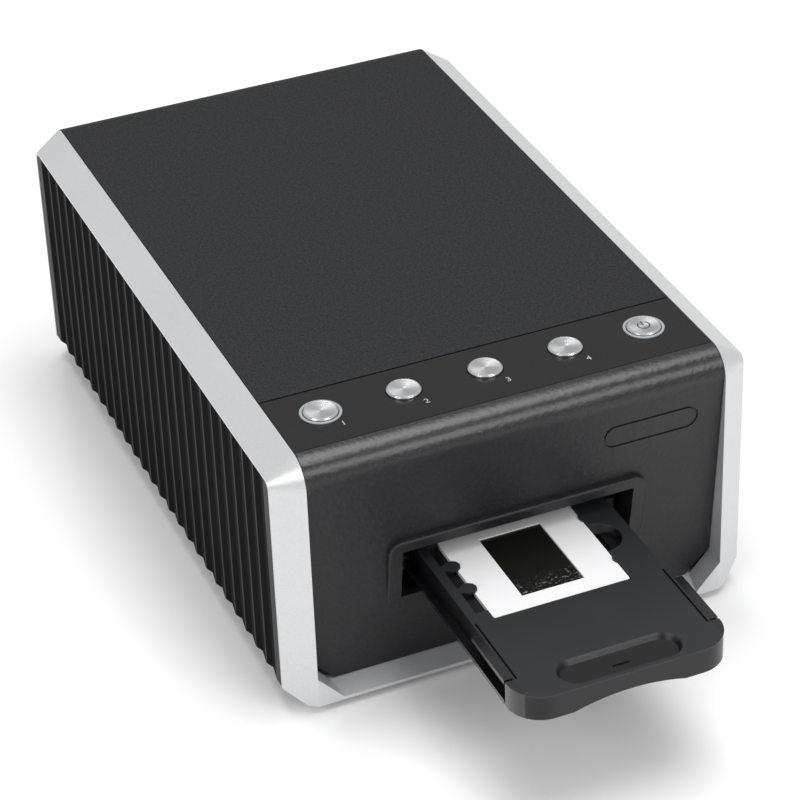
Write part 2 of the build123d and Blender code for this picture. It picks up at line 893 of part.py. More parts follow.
tray_front_y = sill_rear_y + seam
tray_rear_y = rear_inner_y - rear_foot - seam
foot_x = cover_half - foot_inset
foot_places = [(x, y) for x in (-foot_x, foot_x) for y in (front_y + foot_front, rear_y - foot_rear)]
board_front_y = bench_rear_y + board_front_gap
board_rear_y = rear_inner_y - board_rear_gap
board_half = cover_half - board_edge
post_x = board_half - post_inset
post_ys = (board_front_y + post_front, board_rear_y - post_rear)
post_places = [(x, y) for x in (-post_x, post_x) for y in post_ys]
case_screw_x = cover_half - case_screw_inset
case_screw_ys = (front_y + case_screw_front, rear_y - case_screw_rear)
case_screw_places = [(x, y) for x in (-case_screw_x, case_screw_x) for y in case_screw_ys]

with BuildPart() as base_tray:
    block((-cover_half, cover_half), (tray_front_y, rear_inner_y), (floor_z, floor_top_z))
    # Low walls inside the side frames and along the front
    for wall_x in either_side(cover_half - wall, cover_half):
        block(wall_x, (tray_front_y, tray_rear_y), (floor_top_z, floor_top_z + tray_side_wall))
    front_wall_y = (tray_front_y, tray_front_y + wall)
    block((-cover_half, cover_half), front_wall_y, (floor_top_z, floor_top_z + tray_front_wall))
    # Posts for the main board
    with BuildSketch(Plane.XY.offset(floor_top_z)):
        with Locations(*post_places):
            RegularPolygon(post_radius, 8)
            RegularPolygon(screw_radius + seat_gap, 8, mode=Mode.SUBTRACT)
    extrude(amount=main_board_z - floor_top_z)
    # Wells for the feet, sunk seats for the case screws
    with BuildSketch(Plane.XY.offset(floor_z)):
        with Locations(*foot_places):
            RegularPolygon(foot_radius + seat_gap, 12)
    extrude(amount=foot_well, mode=Mode.SUBTRACT)
    with BuildSketch(Plane.XY.offset(floor_z)):
        with Locations(*case_screw_places):
            RegularPolygon(case_head_radius + fit_gap, 8)
    extrude(amount=case_seat_depth, mode=Mode.SUBTRACT)
finish(base_tray, "base_tray")

with BuildPart() as rubber_feet:
    with BuildSketch(Plane.XY):
        with Locations(*foot_places):
            RegularPolygon(foot_radius, 12)
    extrude(amount=floor_z + foot_well)
    chamfer(rubber_feet.faces().group_by(Axis.Z)[0].edges(), foot_edge)
finish(rubber_feet, "rubber_feet")

with BuildPart() as case_screws:
    head_top_z = floor_z + case_seat_depth
    with BuildSketch(Plane.XY.offset(head_top_z)):
        with Locations(*case_screw_places):
            RegularPolygon(case_head_radius, 8)
    extrude(amount=-case_head_height)
    # Slot across each head
    with BuildSketch(Plane.XY.offset(head_top_z - case_head_height)):
        with Locations(*case_screw_places):
            Rectangle(case_head_radius, screw_slot_width)
    extrude(amount=screw_slot_depth, mode=Mode.SUBTRACT)
finish(case_screws, "case_screws")

# ---------------------------------------------------------------- film holder

lip_top_z = holder_low_z + lip_thickness
rack_tip_z = holder_low_z + rack_sink
rack_pitch_z = rack_tip_z + gear_module
rack_root_z = rack_pitch_z + 1.25 * gear_module
rack_pitch = pi * gear_module
rack_right_x = tray_half - holder_wall
rack_left_x = rack_right_x - rack_width
drive_z = rack_pitch_z - pinion_teeth * gear_module / 2
drive_tip = (drive_teeth / 2 + 1) * train_module
drive_y = front_face_y(drive_z) + inner_lean_y + drive_tip + gear_front_gap
rack_front_y = handle_rear_y + rack_front
rack_rear_y = holder_rear_y - rack_rear

light_width = mount_window_width + 2 * window_margin
light_length = mount_window_length + 2 * window_margin
pocket_left_x = axis_x - pocket_size / 2
pocket_right_x = axis_x + pocket_size / 2
left_tab_x = pocket_left_x - (tab_radius - tab_reach)
right_tab_x = pocket_right_x + (tab_radius - right_tab_reach)
tab_height = pocket_depth - mount_thickness - tab_gap
lips_front_y = handle_rear_y + lip_gap
lip_groove_x = tray_half - lip_groove_inset - lip_groove_width
finger_y = holder_front_y + finger_edge + finger_width / 2


def rack_outline():
    """Corner points of the rack's teeth, with a gap centred over the drive shaft."""
    lean_top = gear_module * tan(pressure_angle)
    lean_root = 1.25 * gear_module * tan(pressure_angle)
    half_tooth = rack_pitch / 4 - backlash / 2
    first = int((rack_front_y - drive_y) / rack_pitch)
    last = int((rack_rear_y - drive_y) / rack_pitch)
    points = []
    for i in range(first, last):
        middle = drive_y + (i + 0.5) * rack_pitch
        points += [
            (middle - half_tooth - lean_root, rack_root_z),
            (middle - half_tooth + lean_top, rack_tip_z),
            (middle + half_tooth - lean_top, rack_tip_z),
            (middle + half_tooth + lean_root, rack_root_z),
        ]
    return points


with BuildPart() as holder_tray:
    # Deck with side walls and running lips, as one section
    with BuildSketch(facing_front(holder_rear_y)) as section:
        with BuildLine():
            right = [
                (rack_right_x, deck_low_z),
                (rack_right_x, holder_low_z),
                (lip_half, holder_low_z),
                (lip_half, lip_top_z),
                (tray_half, lip_top_z),
                (tray_half, holder_top_z),
            ]
            left = [(-x, z) for x, z in reversed(right)]
            Polyline(*right, *left, close=True)
        make_face()
    extrude(amount=holder_rear_y - handle_rear_y)
    for lip_x in either_side(tray_half, lip_half):
        # Upper lips beside the handle plate
        lip_y = (handle_rear_y, pockets_front_y - upper_lip_end)
        block(lip_x, lip_y, (holder_top_z - lip_thickness, holder_top_z))
        # Slit between the lips and the handle
        block(lip_x, (handle_rear_y, lips_front_y), (holder_low_z, holder_top_z), mode=Mode.SUBTRACT)
    for groove_x in either_side(lip_groove_x, lip_groove_x + lip_groove_width):
        groove_y = (handle_rear_y, pockets_front_y)
        block(groove_x, groove_y, (holder_top_z - lip_groove_depth, holder_top_z), mode=Mode.SUBTRACT)
    # Handle: full height, rounded corners
    with BuildSketch(Plane.XY.offset(holder_low_z)) as grip:
        y, length = span(holder_front_y, handle_rear_y)
        with Locations((0, y)):
            Rectangle(2 * lip_half, length)
        fillet(grip.vertices().group_by(Axis.Y)[0], handle_corner)
    extrude(amount=holder_height)
    # Scoop under the handle
    with BuildSketch(facing_front(handle_rear_y)) as scoop:
        with BuildLine():
            arch = ThreePointArc(
                (-grip_half_width, holder_low_z),
                (0, holder_low_z + grip_rise),
                (grip_half_width, holder_low_z),
            )
            Line(arch @ 1, arch @ 0)
        make_face()
    extrude(amount=handle_length, mode=Mode.SUBTRACT)
    # Finger recess
    with BuildSketch(Plane.XY.offset(holder_top_z)):
        with Locations((0, finger_y)):
            SlotOverall(finger_length, finger_width)
    extrude(amount=-finger_depth, taper=finger_slope, mode=Mode.SUBTRACT)
    # Arrow that says which way the holder goes in
    with BuildSketch(Plane.XY.offset(holder_top_z - finger_depth)):
        with Locations((0, finger_y)):
            Triangle(a=arrow_width, b=arrow_side, c=arrow_side)
    extrude(amount=arrow_height)
    # Pockets for the slide mounts, with a light window in each floor
    with BuildSketch(Plane.XY.offset(holder_top_z)):
        with Locations(*[(axis_x, y) for y in pocket_ys]):
            Rectangle(pocket_size, pocket_size)
        # Sunk channel left of each pocket
        with Locations(*[(pocket_left_x - channel_width / 2, y) for y in pocket_ys]):
            Rectangle(channel_width, pocket_size - 2 * channel_end)
    extrude(amount=-pocket_depth, mode=Mode.SUBTRACT)
    with BuildSketch(Plane.XY.offset(pocket_floor_z)):
        with Locations(*[(axis_x, y) for y in pocket_ys]):
            Rectangle(light_width, light_length)
    extrude(amount=pocket_depth - deck_thickness, mode=Mode.SUBTRACT)
    # Round notches, to lift a mount with a finger
    with BuildSketch(Plane.XY.offset(deck_low_z)):
        with Locations(*[(pocket_right_x, y) for y in pocket_ys]):
            Circle(notch_radius)
    extrude(amount=deck_thickness, mode=Mode.SUBTRACT)
    # Round tabs that hold the mounts down, the left ones on posts in the channel
    left_tabs = [(left_tab_x, y + side * tab_half_pitch) for y in pocket_ys for side in (-1, 1)]
    right_pitch = right_tab_half_pitch
    right_tabs = [(right_tab_x, y + side * right_pitch) for y in pocket_ys for side in (-1, 1)]
    with BuildSketch(Plane.XY.offset(holder_top_z)):
        with Locations(*left_tabs, *right_tabs):
            RegularPolygon(tab_radius, 10)
    extrude(amount=-tab_height)
    with BuildSketch(Plane.XY.offset(pocket_floor_z)):
        with Locations(*[(pocket_left_x - channel_width / 2, y) for x, y in left_tabs]):
            Rectangle(channel_width, tab_radius)
    extrude(amount=pocket_depth)
    # Cross ribs under the webs between the pockets
    with BuildSketch(Plane.XY.offset(lip_top_z)):
        x, width = span(-rack_right_x, rack_left_x)
        with Locations(*[(x, y + pocket_step / 2) for y in pocket_ys[:-1]]):
            Rectangle(width, pocket_web)
    extrude(amount=deck_low_z - lip_top_z)
    # Rack along the right wall
    teeth = rack_outline()
    with BuildSketch(facing_side(rack_left_x)):
        with BuildLine():
            Polyline((teeth[0][0], deck_low_z), *teeth, (teeth[-1][0], deck_low_z), close=True)
        make_face()
    extrude(amount=rack_width)
    # Cut corner that keeps the holder from going in the wrong way round
    rear_edges = holder_tray.edges().filter_by(Axis.Z).group_by(Axis.Y)[-1]
    chamfer(rear_edges.sort_by(Axis.X)[0], rear_cut)
finish(holder_tray, "holder_tray")

mount_y = pocket_ys[0]
film_slit_z = pocket_floor_z + (mount_thickness - film_slit) / 2
film_z_low = film_slit_z + (film_slit - film_thickness) / 2
film_half_width = mount_window_width / 2 + film_margin
film_half_length = mount_window_length / 2 + film_margin

with BuildPart() as slide_mount:
    with BuildSketch(Plane.XY.offset(pocket_floor_z)):
        with Locations((axis_x, mount_y)):
            RectangleRounded(mount_size, mount_size, mount_corner)
            Rectangle(mount_window_width, mount_window_length, mode=Mode.SUBTRACT)
    extrude(amount=mount_thickness)
    # Slit in the mount's thickness that holds the film
    block(
        (axis_x - film_half_width, axis_x + film_half_width),
        (mount_y - film_half_length, mount_y + film_half_length),
        (film_slit_z, film_slit_z + film_slit),
        mode=Mode.SUBTRACT,
    )
finish(slide_mount, "slide_mount")

with BuildPart() as film_frame:
    block(
        (axis_x - film_half_width + seat_gap, axis_x + film_half_width - seat_gap),
        (mount_y - film_half_length + seat_gap, mount_y + film_half_length - seat_gap),
        (film_z_low, film_z_low + film_thickness),
    )
finish(film_frame, "film_frame")

# ---------------------------------------------------------------- guide rails

guide_front_y = sleeve_rear_y + rail_front_gap
guide_rear_y = holder_rear_y + rail_overrun
guide_inner = lip_half + rail_gap
guide_outer = guide_inner + rail_width
guide_shelf_z = holder_low_z - fit_gap
guide_keeper_z = lip_top_z + fit_gap
guide_low_z = guide_shelf_z - rail_shelf
guide_top_z = guide_keeper_z + rail_keeper
guide_tongue = tray_half + rail_tongue_gap
guide_leg_ys = (front_y + first_leg, front_y + middle_leg, bench_rear_y + rail_leg_gap)

with BuildPart() as right_guide_rail:
    with BuildSketch(facing_front(guide_rear_y)) as section:
        with BuildLine():
            Polyline(
                (guide_outer, guide_low_z),
                (guide_outer, guide_top_z),
                (guide_tongue, guide_top_z),
                (guide_tongue, guide_keeper_z),
                (guide_inner, guide_keeper_z),
                (guide_inner, guide_shelf_z),
                (guide_tongue, guide_shelf_z),
                (guide_tongue, guide_low_z),
                close=True,
            )
        make_face()
    extrude(amount=guide_rear_y - guide_front_y)
    for leg_y in guide_leg_ys:
        leg_span = (leg_y - rail_leg / 2, leg_y + rail_leg / 2)
        block((guide_inner, guide_outer), leg_span, (floor_top_z, guide_low_z))
finish(right_guide_rail, "right_guide_rail")

with BuildPart() as left_guide_rail:
    mirror(right_guide_rail.part, about=Plane.YZ)
finish(left_guide_rail, "left_guide_rail")

# ---------------------------------------------------------------- gears


def involute(cosine):
    """Involute function of the angle whose cosine is given."""
    tangent = (1 / cosine**2 - 1) ** 0.5
    return tangent - atan2(tangent, 1)


def gear_outline(teeth, module, turn):
    """Corner points of an involute gear, with a tooth centred at the angle turn (degrees)."""
    pitch_radius = teeth * module / 2
    base_radius = pitch_radius * cos(pressure_angle)
    half_at_pitch = (pi * module / 2 - backlash) / (2 * pitch_radius)
    half_at_base = half_at_pitch + involute(cos(pressure_angle))
    root_radius = pitch_radius - 1.25 * module
    tip_radius = pitch_radius + module
    radii = (root_radius, pitch_radius, tip_radius)
    if teeth > straight_flank_teeth:
        radii = (root_radius, tip_radius)
    flank = []
    for radius in radii:
        narrowing = involute(base_radius / max(radius, base_radius))
        flank.append((radius, half_at_base - narrowing))
    points = []
    for i in range(teeth):
        middle = radians(turn) + 2 * pi * i / teeth
        for radius, half in flank:
            points.append((radius * cos(middle - half), radius * sin(middle - half)))
        for radius, half in reversed(flank):
            points.append((radius * cos(middle + half), radius * sin(middle + half)))
    return points


def meshing_turn(turn, teeth, other_teeth, direction):
    """Turn of the other gear that meshes with a gear, the other lying in the given direction."""
    pitch = 360 / teeth
    other_pitch = 360 / other_teeth
    share = ((direction - turn) / pitch) % 1
    return direction + 180 - (0.5 - share) * other_pitch


def axle_plane(x, place):
    """Sketch plane across an axle along X that passes through the (y, z) place."""
    return Plane(origin=(x, *place), x_dir=(0, 1, 0), z_dir=(1, 0, 0))


def spur(x, place, teeth, module, width, turn):
    """Spur gear from x towards +X on the axle through place."""
    with BuildSketch(axle_plane(x, place)) as outline:
        with BuildLine():
            Polyline(*gear_outline(teeth, module, turn), close=True)
        make_face()
    extrude(outline.sketch, amount=width)


def rod(x, place, radius, length, mode=Mode.ADD):
    """Round bar from x towards +X on the axle through place."""
    with BuildSketch(axle_plane(x, place)) as section:
        Circle(radius)
    extrude(section.sketch, amount=length, mode=mode)


def prism(x, place, radius, length):
    """Eight-sided bar from x towards +X on the axle through place."""
    with BuildSketch(axle_plane(x, place)) as section:
        RegularPolygon(radius, 8)
    extrude(section.sketch, amount=length)


def away(place, reach, angle):
    """The (y, z) place at the given reach and angle (degrees) from another."""
    return place[0] + reach * cos(radians(angle)), place[1] + reach * sin(radians(angle))


plate_x = -(guide_outer + plate_side_gap)      # inner face of the gear plate
plate_left_x = plate_x - plate_thickness
drive_axle = (drive_y, drive_z)
reducer_axle = away(drive_axle, (small_teeth + drive_teeth) * train_module / 2, reducer_angle)
motor_axle = away(reducer_axle, (motor_teeth + large_teeth) * train_module / 2, motor_angle)

first_gear_x = plate_left_x - plate_gear_gap - gear_width      # large gear and the motor's pinion
second_gear_x = first_gear_x - gear_side_gap - gear_width      # drive gear and the small gear
bush_radius = shaft_radius + bush_wall
bush_flange_radius = shaft_radius + bush_flange
bracket_x = guide_outer + bracket_gap
bracket_right_x = bracket_x + plate_thickness
shaft_left_x = second_gear_x - gear_hub - shaft_end
shaft_right_x = bracket_right_x + bush_flange_width + 2 * shaft_end

drive_turn = 90.0                              # a tooth of the pinion points up into the rack
drive_gear_turn = 0.0
small_turn = meshing_turn(drive_gear_turn, drive_teeth, small_teeth, reducer_angle)
motor_turn = meshing_turn(small_turn, large_teeth, motor_teeth, motor_angle)

with BuildPart() as drive_pinion:
    pinion_width = rack_width - 2 * pinion_side_gap
    pinion_x = rack_left_x + pinion_side_gap
    spur(pinion_x, drive_axle, pinion_teeth, gear_module, pinion_width, drive_turn)
    rod(pinion_x - pinion_hub, drive_axle, pinion_hub_radius, pinion_hub)
    bore = (shaft_radius + press_gap, pinion_width + pinion_hub)
    rod(pinion_x - pinion_hub, drive_axle, *bore, mode=Mode.SUBTRACT)
finish(drive_pinion, "drive_pinion")

with BuildPart() as drive_gear:
    spur(second_gear_x, drive_axle, drive_teeth, train_module, gear_width, drive_gear_turn)
    rod(second_gear_x - gear_hub, drive_axle, gear_hub_radius, gear_hub)
    bore = (shaft_radius + press_gap, gear_width + gear_hub)
    rod(second_gear_x - gear_hub, drive_axle, *bore, mode=Mode.SUBTRACT)
finish(drive_gear, "drive_gear")

with BuildPart() as drive_shaft:
    rod(shaft_left_x, drive_axle, shaft_radius, shaft_right_x - shaft_left_x)
    chamfer(drive_shaft.edges().filter_by(GeomType.CIRCLE), shaft_edge)
finish(drive_shaft, "drive_shaft")

with BuildPart() as shaft_clips:
    for flange_x in (plate_x, bracket_right_x):
        clip_x = flange_x + bush_flange_width + fit_gap
        prism(clip_x, drive_axle, shaft_radius + clip_reach, clip_thickness)
        rod(clip_x, drive_axle, shaft_radius + press_gap, clip_thickness, mode=Mode.SUBTRACT)
finish(shaft_clips, "shaft_clips")

with BuildPart() as shaft_bushes:
    for bush_x in (plate_left_x, bracket_x):
        rod(bush_x, drive_axle, bush_radius, plate_thickness)
        prism(bush_x + plate_thickness, drive_axle, bush_flange_radius, bush_flange_width)
        bore = (shaft_radius + running_gap, plate_thickness + bush_flange_width)
        rod(bush_x, drive_axle, *bore, mode=Mode.SUBTRACT)
finish(shaft_bushes, "shaft_bushes")

with BuildPart() as reduction_gear:
    spur(first_gear_x, reducer_axle, large_teeth, train_module, gear_width, small_turn)
    small_width = first_gear_x - second_gear_x
    spur(second_gear_x, reducer_axle, small_teeth, train_module, small_width, small_turn)
    bore = (pin_radius + running_gap, small_width + gear_width)
    rod(second_gear_x, reducer_axle, *bore, mode=Mode.SUBTRACT)
finish(reduction_gear, "reduction_gear")

with BuildPart() as reduction_pin:
    rod(second_gear_x - pin_head, reducer_axle, pin_radius, plate_x - second_gear_x + pin_head)
    prism(plate_left_x - pin_head_thickness, reducer_axle, pin_radius + pin_head, pin_head_thickness)
finish(reduction_pin, "reduction_pin")

rotor_left_x = first_gear_x - shaft_end
rotor_right_x = plate_x + motor_length - motor_shaft_end
motor_radius = motor_diameter / 2
ear_y = motor_radius + motor_ear
ear_places = [(motor_axle[0] - ear_y, motor_axle[1]), (motor_axle[0] + ear_y, motor_axle[1])]

with BuildPart() as motor_rotor:
    spur(first_gear_x, motor_axle, motor_teeth, train_module, gear_width, motor_turn)
    rod(rotor_left_x, motor_axle, motor_shaft_radius, rotor_right_x - rotor_left_x)
finish(motor_rotor, "motor_rotor")

with BuildPart() as motor_body:
    rod(plate_x, motor_axle, motor_radius, motor_length)
    rod(plate_left_x, motor_axle, motor_boss_radius, plate_thickness)
    # Mounting ears
    with BuildSketch(axle_plane(plate_x, motor_axle)):
        Rectangle(2 * ear_y + motor_ear_width, motor_ear_width)
    extrude(amount=motor_ear_thickness)
    for place in ear_places:
        screw_hole(axle_plane(plate_x, place), motor_ear_thickness)
    bore = (motor_shaft_radius + running_gap, rotor_right_x - plate_left_x + fit_gap)
    rod(plate_left_x, motor_axle, *bore, mode=Mode.SUBTRACT)
finish(motor_body, "motor_body")

with BuildPart() as motor_screws:
    for place in ear_places:
        seat = Plane(origin=(plate_x + motor_ear_thickness, *place), x_dir=(0, 1, 0), z_dir=(-1, 0, 0))
        screw(seat, motor_ear_thickness + plate_thickness)
finish(motor_screws, "motor_screws")

plate_top_z = guide_low_z + plate_top
plate_front_y = drive_y - plate_front
plate_rear_y = motor_axle[0] + motor_radius + plate_rear

with BuildPart() as gear_plate:
    block((plate_left_x, plate_x), (plate_front_y, plate_rear_y), (floor_top_z, plate_top_z))
    # Feet that lie on the base tray
    for foot_y in (plate_front_y, plate_rear_y - plate_foot_width):
        foot_x_span = (plate_left_x - plate_foot, plate_left_x)
        foot_z = (floor_top_z, floor_top_z + plate_thickness)
        block(foot_x_span, (foot_y, foot_y + plate_foot_width), foot_z)
    rod(plate_left_x, drive_axle, bush_radius + press_gap, plate_thickness, mode=Mode.SUBTRACT)
    rod(plate_left_x, reducer_axle, pin_radius + press_gap, plate_thickness, mode=Mode.SUBTRACT)
    rod(plate_left_x, motor_axle, motor_boss_radius + seat_gap, plate_thickness, mode=Mode.SUBTRACT)
    for place in ear_places:
        screw_hole(axle_plane(plate_left_x, place), plate_thickness)
finish(gear_plate, "gear_plate")

with BuildPart() as bearing_bracket:
    bracket_y = (drive_y - bracket_reach, drive_y + bracket_reach)
    block((bracket_x, bracket_right_x), bracket_y, (floor_top_z, drive_z + bracket_reach))
    foot_z = (floor_top_z, floor_top_z + plate_thickness)
    block((bracket_x, bracket_x + bracket_foot), bracket_y, foot_z)
    rod(bracket_x, drive_axle, bush_radius + press_gap, plate_thickness, mode=Mode.SUBTRACT)
finish(bearing_bracket, "bearing_bracket")

# ---------------------------------------------------------------- optics

optic_z = base_z + optical_axis_height
scan_line_y = front_y + scan_y
lens_mid_y = front_y + lens_y
sensor_front_y = front_y + sensor_y
bench_x = (axis_x - bench_half, axis_x + bench_half)
bench_inner_x = (axis_x - bench_half + bench_wall, axis_x + bench_half - bench_wall)
bench_front_y = scan_line_y - bench_front
bench_floor_z = floor_top_z + bench_wall
bench_top_z = optic_z + bench_rise
mirror_back_y = scan_line_y - mirror_thickness * 2**0.5        # back of the 45 degree mirror

with BuildPart() as optics_bench:
    block(bench_x, (bench_front_y, bench_rear_y), (floor_top_z, bench_top_z))
    bench_inner_y = (bench_front_y + bench_wall, bench_rear_y - bench_wall)
    block(bench_inner_x, bench_inner_y, (bench_floor_z, bench_top_z), mode=Mode.SUBTRACT)
    # Wedge behind the mirror
    with BuildSketch(facing_side(bench_inner_x[0])):
        with BuildLine():
            Polyline(
                (mirror_back_y - mirror_rise, optic_z + mirror_rise),
                (mirror_back_y + optic_z - bench_floor_z, bench_floor_z),
                (mirror_back_y - mirror_rise, bench_floor_z),
                close=True,
            )
        make_face()
    extrude(amount=bench_inner_x[1] - bench_inner_x[0])
    # Saddle for the lens
    saddle_y = (lens_mid_y - saddle_length / 2, lens_mid_y + saddle_length / 2)
    block(bench_inner_x, saddle_y, (bench_floor_z, optic_z))
    with BuildSketch(facing_front(saddle_y[1])):
        with Locations((axis_x, optic_z)):
            Circle(lens_radius)
    extrude(amount=saddle_length, mode=Mode.SUBTRACT)
finish(optics_bench, "optics_bench")

with BuildPart() as fold_mirror:
    with BuildSketch(Plane(origin=(axis_x, mirror_back_y, optic_z), x_dir=(1, 0, 0), z_dir=(0, 1, 1))):
        Rectangle(mirror_width, mirror_length)
    extrude(amount=mirror_thickness)
finish(fold_mirror, "fold_mirror")

lens_bore_radius = lens_radius - lens_wall

with BuildPart() as lens_barrel:
    with BuildSketch(facing_front(lens_mid_y + lens_length / 2)):
        with Locations((axis_x, optic_z)):
            Circle(lens_radius)
            Circle(lens_bore_radius, mode=Mode.SUBTRACT)
    extrude(amount=lens_length)
finish(lens_barrel, "lens_barrel")

with BuildPart() as lens_glasses:
    for glass_rear_y in (
        lens_mid_y + lens_length / 2 - glass_inset,
        lens_mid_y - lens_length / 2 + glass_inset + glass_thickness,
    ):
        with BuildSketch(facing_front(glass_rear_y)):
            with Locations((axis_x, optic_z)):
                Circle(lens_bore_radius - running_gap)
        extrude(amount=glass_thickness)
finish(lens_glasses, "lens_glasses")

with BuildPart() as sensor_board:
    board_x = (axis_x - sensor_board_length / 2, axis_x + sensor_board_length / 2)
    board_y = (sensor_front_y, sensor_front_y + board_thickness)
    block(board_x, board_y, (bench_floor_z, optic_z + sensor_board_rise))
finish(sensor_board, "sensor_board")

with BuildPart() as image_sensor:
    with BuildSketch(facing_front(sensor_front_y)):
        with Locations((axis_x, optic_z)):
            Rectangle(sensor_length, sensor_height)
    extrude(amount=sensor_thickness)
    with BuildSketch(facing_front(sensor_front_y - sensor_thickness)):
        with Locations((axis_x, optic_z)):
            Rectangle(sensor_window_length, sensor_window_height)
    extrude(amount=-sensor_window_depth, mode=Mode.SUBTRACT)
finish(image_sensor, "image_sensor")

# ---------------------------------------------------------------- lamp over the scan line

bridge_deck_z = holder_top_z + bridge_clearance
lamp_low_z = bridge_deck_z + bridge_thickness
lamp_top_z = lamp_low_z + lamp_height
led_low_z = lamp_top_z - lamp_wall - board_thickness
bridge_y = (scan_line_y - bridge_half, scan_line_y + bridge_half)


def over_scan_line(half_width, half_length, z, mode=Mode.ADD):
    """Box centred over the scan line, between the two heights in z."""
    x = (axis_x - half_width, axis_x + half_width)
    block(x, (scan_line_y - half_length, scan_line_y + half_length), z, mode=mode)


with BuildPart() as lamp_bridge:
    block((-guide_outer, guide_outer), bridge_y, (bridge_deck_z, lamp_low_z))
    for leg_x in either_side(guide_inner, guide_outer):
        block(leg_x, bridge_y, (guide_top_z, bridge_deck_z))
    bridge_window = (bridge_window_half, bridge_window_reach, (bridge_deck_z, lamp_low_z))
    over_scan_line(*bridge_window, mode=Mode.SUBTRACT)
finish(lamp_bridge, "lamp_bridge")

with BuildPart() as lamp_diffuser:
    over_scan_line(diffuser_half, diffuser_reach, (lamp_low_z, lamp_low_z + diffuser_thickness))
finish(lamp_diffuser, "lamp_diffuser")

with BuildPart() as lamp_housing:
    over_scan_line(lamp_half, lamp_reach, (lamp_low_z, lamp_top_z))
    lamp_inside = (lamp_half - lamp_wall, lamp_reach - lamp_wall, (lamp_low_z, lamp_top_z - lamp_wall))
    over_scan_line(*lamp_inside, mode=Mode.SUBTRACT)
finish(lamp_housing, "lamp_housing")

with BuildPart() as lamp_board:
    lamp_board_edge = lamp_wall + lamp_board_gap
    board_z = (led_low_z, led_low_z + board_thickness)
    over_scan_line(lamp_half - lamp_board_edge, lamp_reach - lamp_board_edge, board_z)
finish(lamp_board, "lamp_board")

with BuildPart() as lamp_leds:
    with Locations((axis_x, scan_line_y, led_low_z - led_height / 2)):
        with GridLocations(led_pitch, led_row_pitch, led_columns, led_rows):
            Box(led_length, led_width, led_height)
finish(lamp_leds, "lamp_leds")

# ---------------------------------------------------------------- holder sensor

with BuildPart() as holder_sensor:
    fork_mid_y = front_y + fork_y
    fork_top_z = guide_top_z + fork_height
    fork_x = (guide_inner + fork_edge, guide_inner + fork_edge + fork_width)
    block(fork_x, (fork_mid_y - fork_length / 2, fork_mid_y + fork_length / 2), (guide_top_z, fork_top_z))
    slot_x = (fork_x[0], fork_x[1] - fork_wall)
    slot_y = (fork_mid_y - fork_slot / 2, fork_mid_y + fork_slot / 2)
    block(slot_x, slot_y, (guide_top_z + fork_wall, fork_top_z), mode=Mode.SUBTRACT)
finish(holder_sensor, "holder_sensor")

# ---------------------------------------------------------------- main board and sockets

with BuildPart() as main_board:
    board_y = (board_front_y, board_rear_y)
    block((-board_half, board_half), board_y, (main_board_z, main_board_top_z))
    for place in post_places:
        screw_hole(Plane((*place, main_board_z)), board_thickness)
finish(main_board, "main_board")

with BuildPart() as main_board_screws:
    for place in post_places:
        seat = Plane(origin=(*place, main_board_top_z), x_dir=(1, 0, 0), z_dir=(0, 0, -1))
        screw(seat, board_thickness + screw_bite)
finish(main_board_screws, "main_board_screws")

socket_rear_y = rear_face_y - socket_recess
socket_z_span = (main_board_top_z, socket_top_z)

with BuildPart() as usb_socket:
    usb_x_span = (usb_x - usb_width / 2, usb_x + usb_width / 2)
    block(usb_x_span, (socket_rear_y - usb_length, socket_rear_y), socket_z_span)
    with BuildSketch(facing_front(socket_rear_y)) as mouth:
        with Locations((usb_x, socket_z)):
            Rectangle(usb_mouth_width, usb_mouth_height)
        chamfer(mouth.vertices().group_by(Axis.Y)[-1], usb_mouth_corner)
        with Locations((usb_x, socket_z)):
            Rectangle(usb_tongue_width, usb_tongue_height, mode=Mode.SUBTRACT)
    extrude(amount=usb_mouth_depth, mode=Mode.SUBTRACT)
finish(usb_socket, "usb_socket")

with BuildPart() as dc_inlet:
    dc_x_span = (dc_x - dc_width / 2, dc_x + dc_width / 2)
    block(dc_x_span, (socket_rear_y - dc_length, socket_rear_y), socket_z_span)
    with BuildSketch(facing_front(socket_rear_y)):
        with Locations((dc_x, socket_z)):
            Circle(dc_mouth_radius)
            Circle(dc_pin_radius, mode=Mode.SUBTRACT)
    extrude(amount=dc_mouth_depth, mode=Mode.SUBTRACT)
finish(dc_inlet, "dc_inlet")

with BuildPart() as board_chips:
    driver_x = usb_x - driver_gap
    for chip_x, size in ((processor_x, processor_size), (memory_x, memory_size), (driver_x, driver_size)):
        chip_y = board_front_y + chip_front
        chip_z = (main_board_top_z, main_board_top_z + chip_thickness)
        block((chip_x - size / 2, chip_x + size / 2), (chip_y, chip_y + size), chip_z)
finish(board_chips, "board_chips")

with BuildPart() as board_capacitors:
    capacitor_xs = (dc_x - capacitor_offset, dc_x + capacitor_offset, board_half - capacitor_edge)
    with BuildSketch(Plane.XY.offset(main_board_top_z)):
        with Locations(*[(x, board_front_y + capacitor_front) for x in capacitor_xs]):
            RegularPolygon(capacitor_radius, 12)
    extrude(amount=capacitor_height)
finish(board_capacitors, "board_capacitors")
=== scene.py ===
import math

import bmesh
import bpy
from mathutils import Matrix, Vector


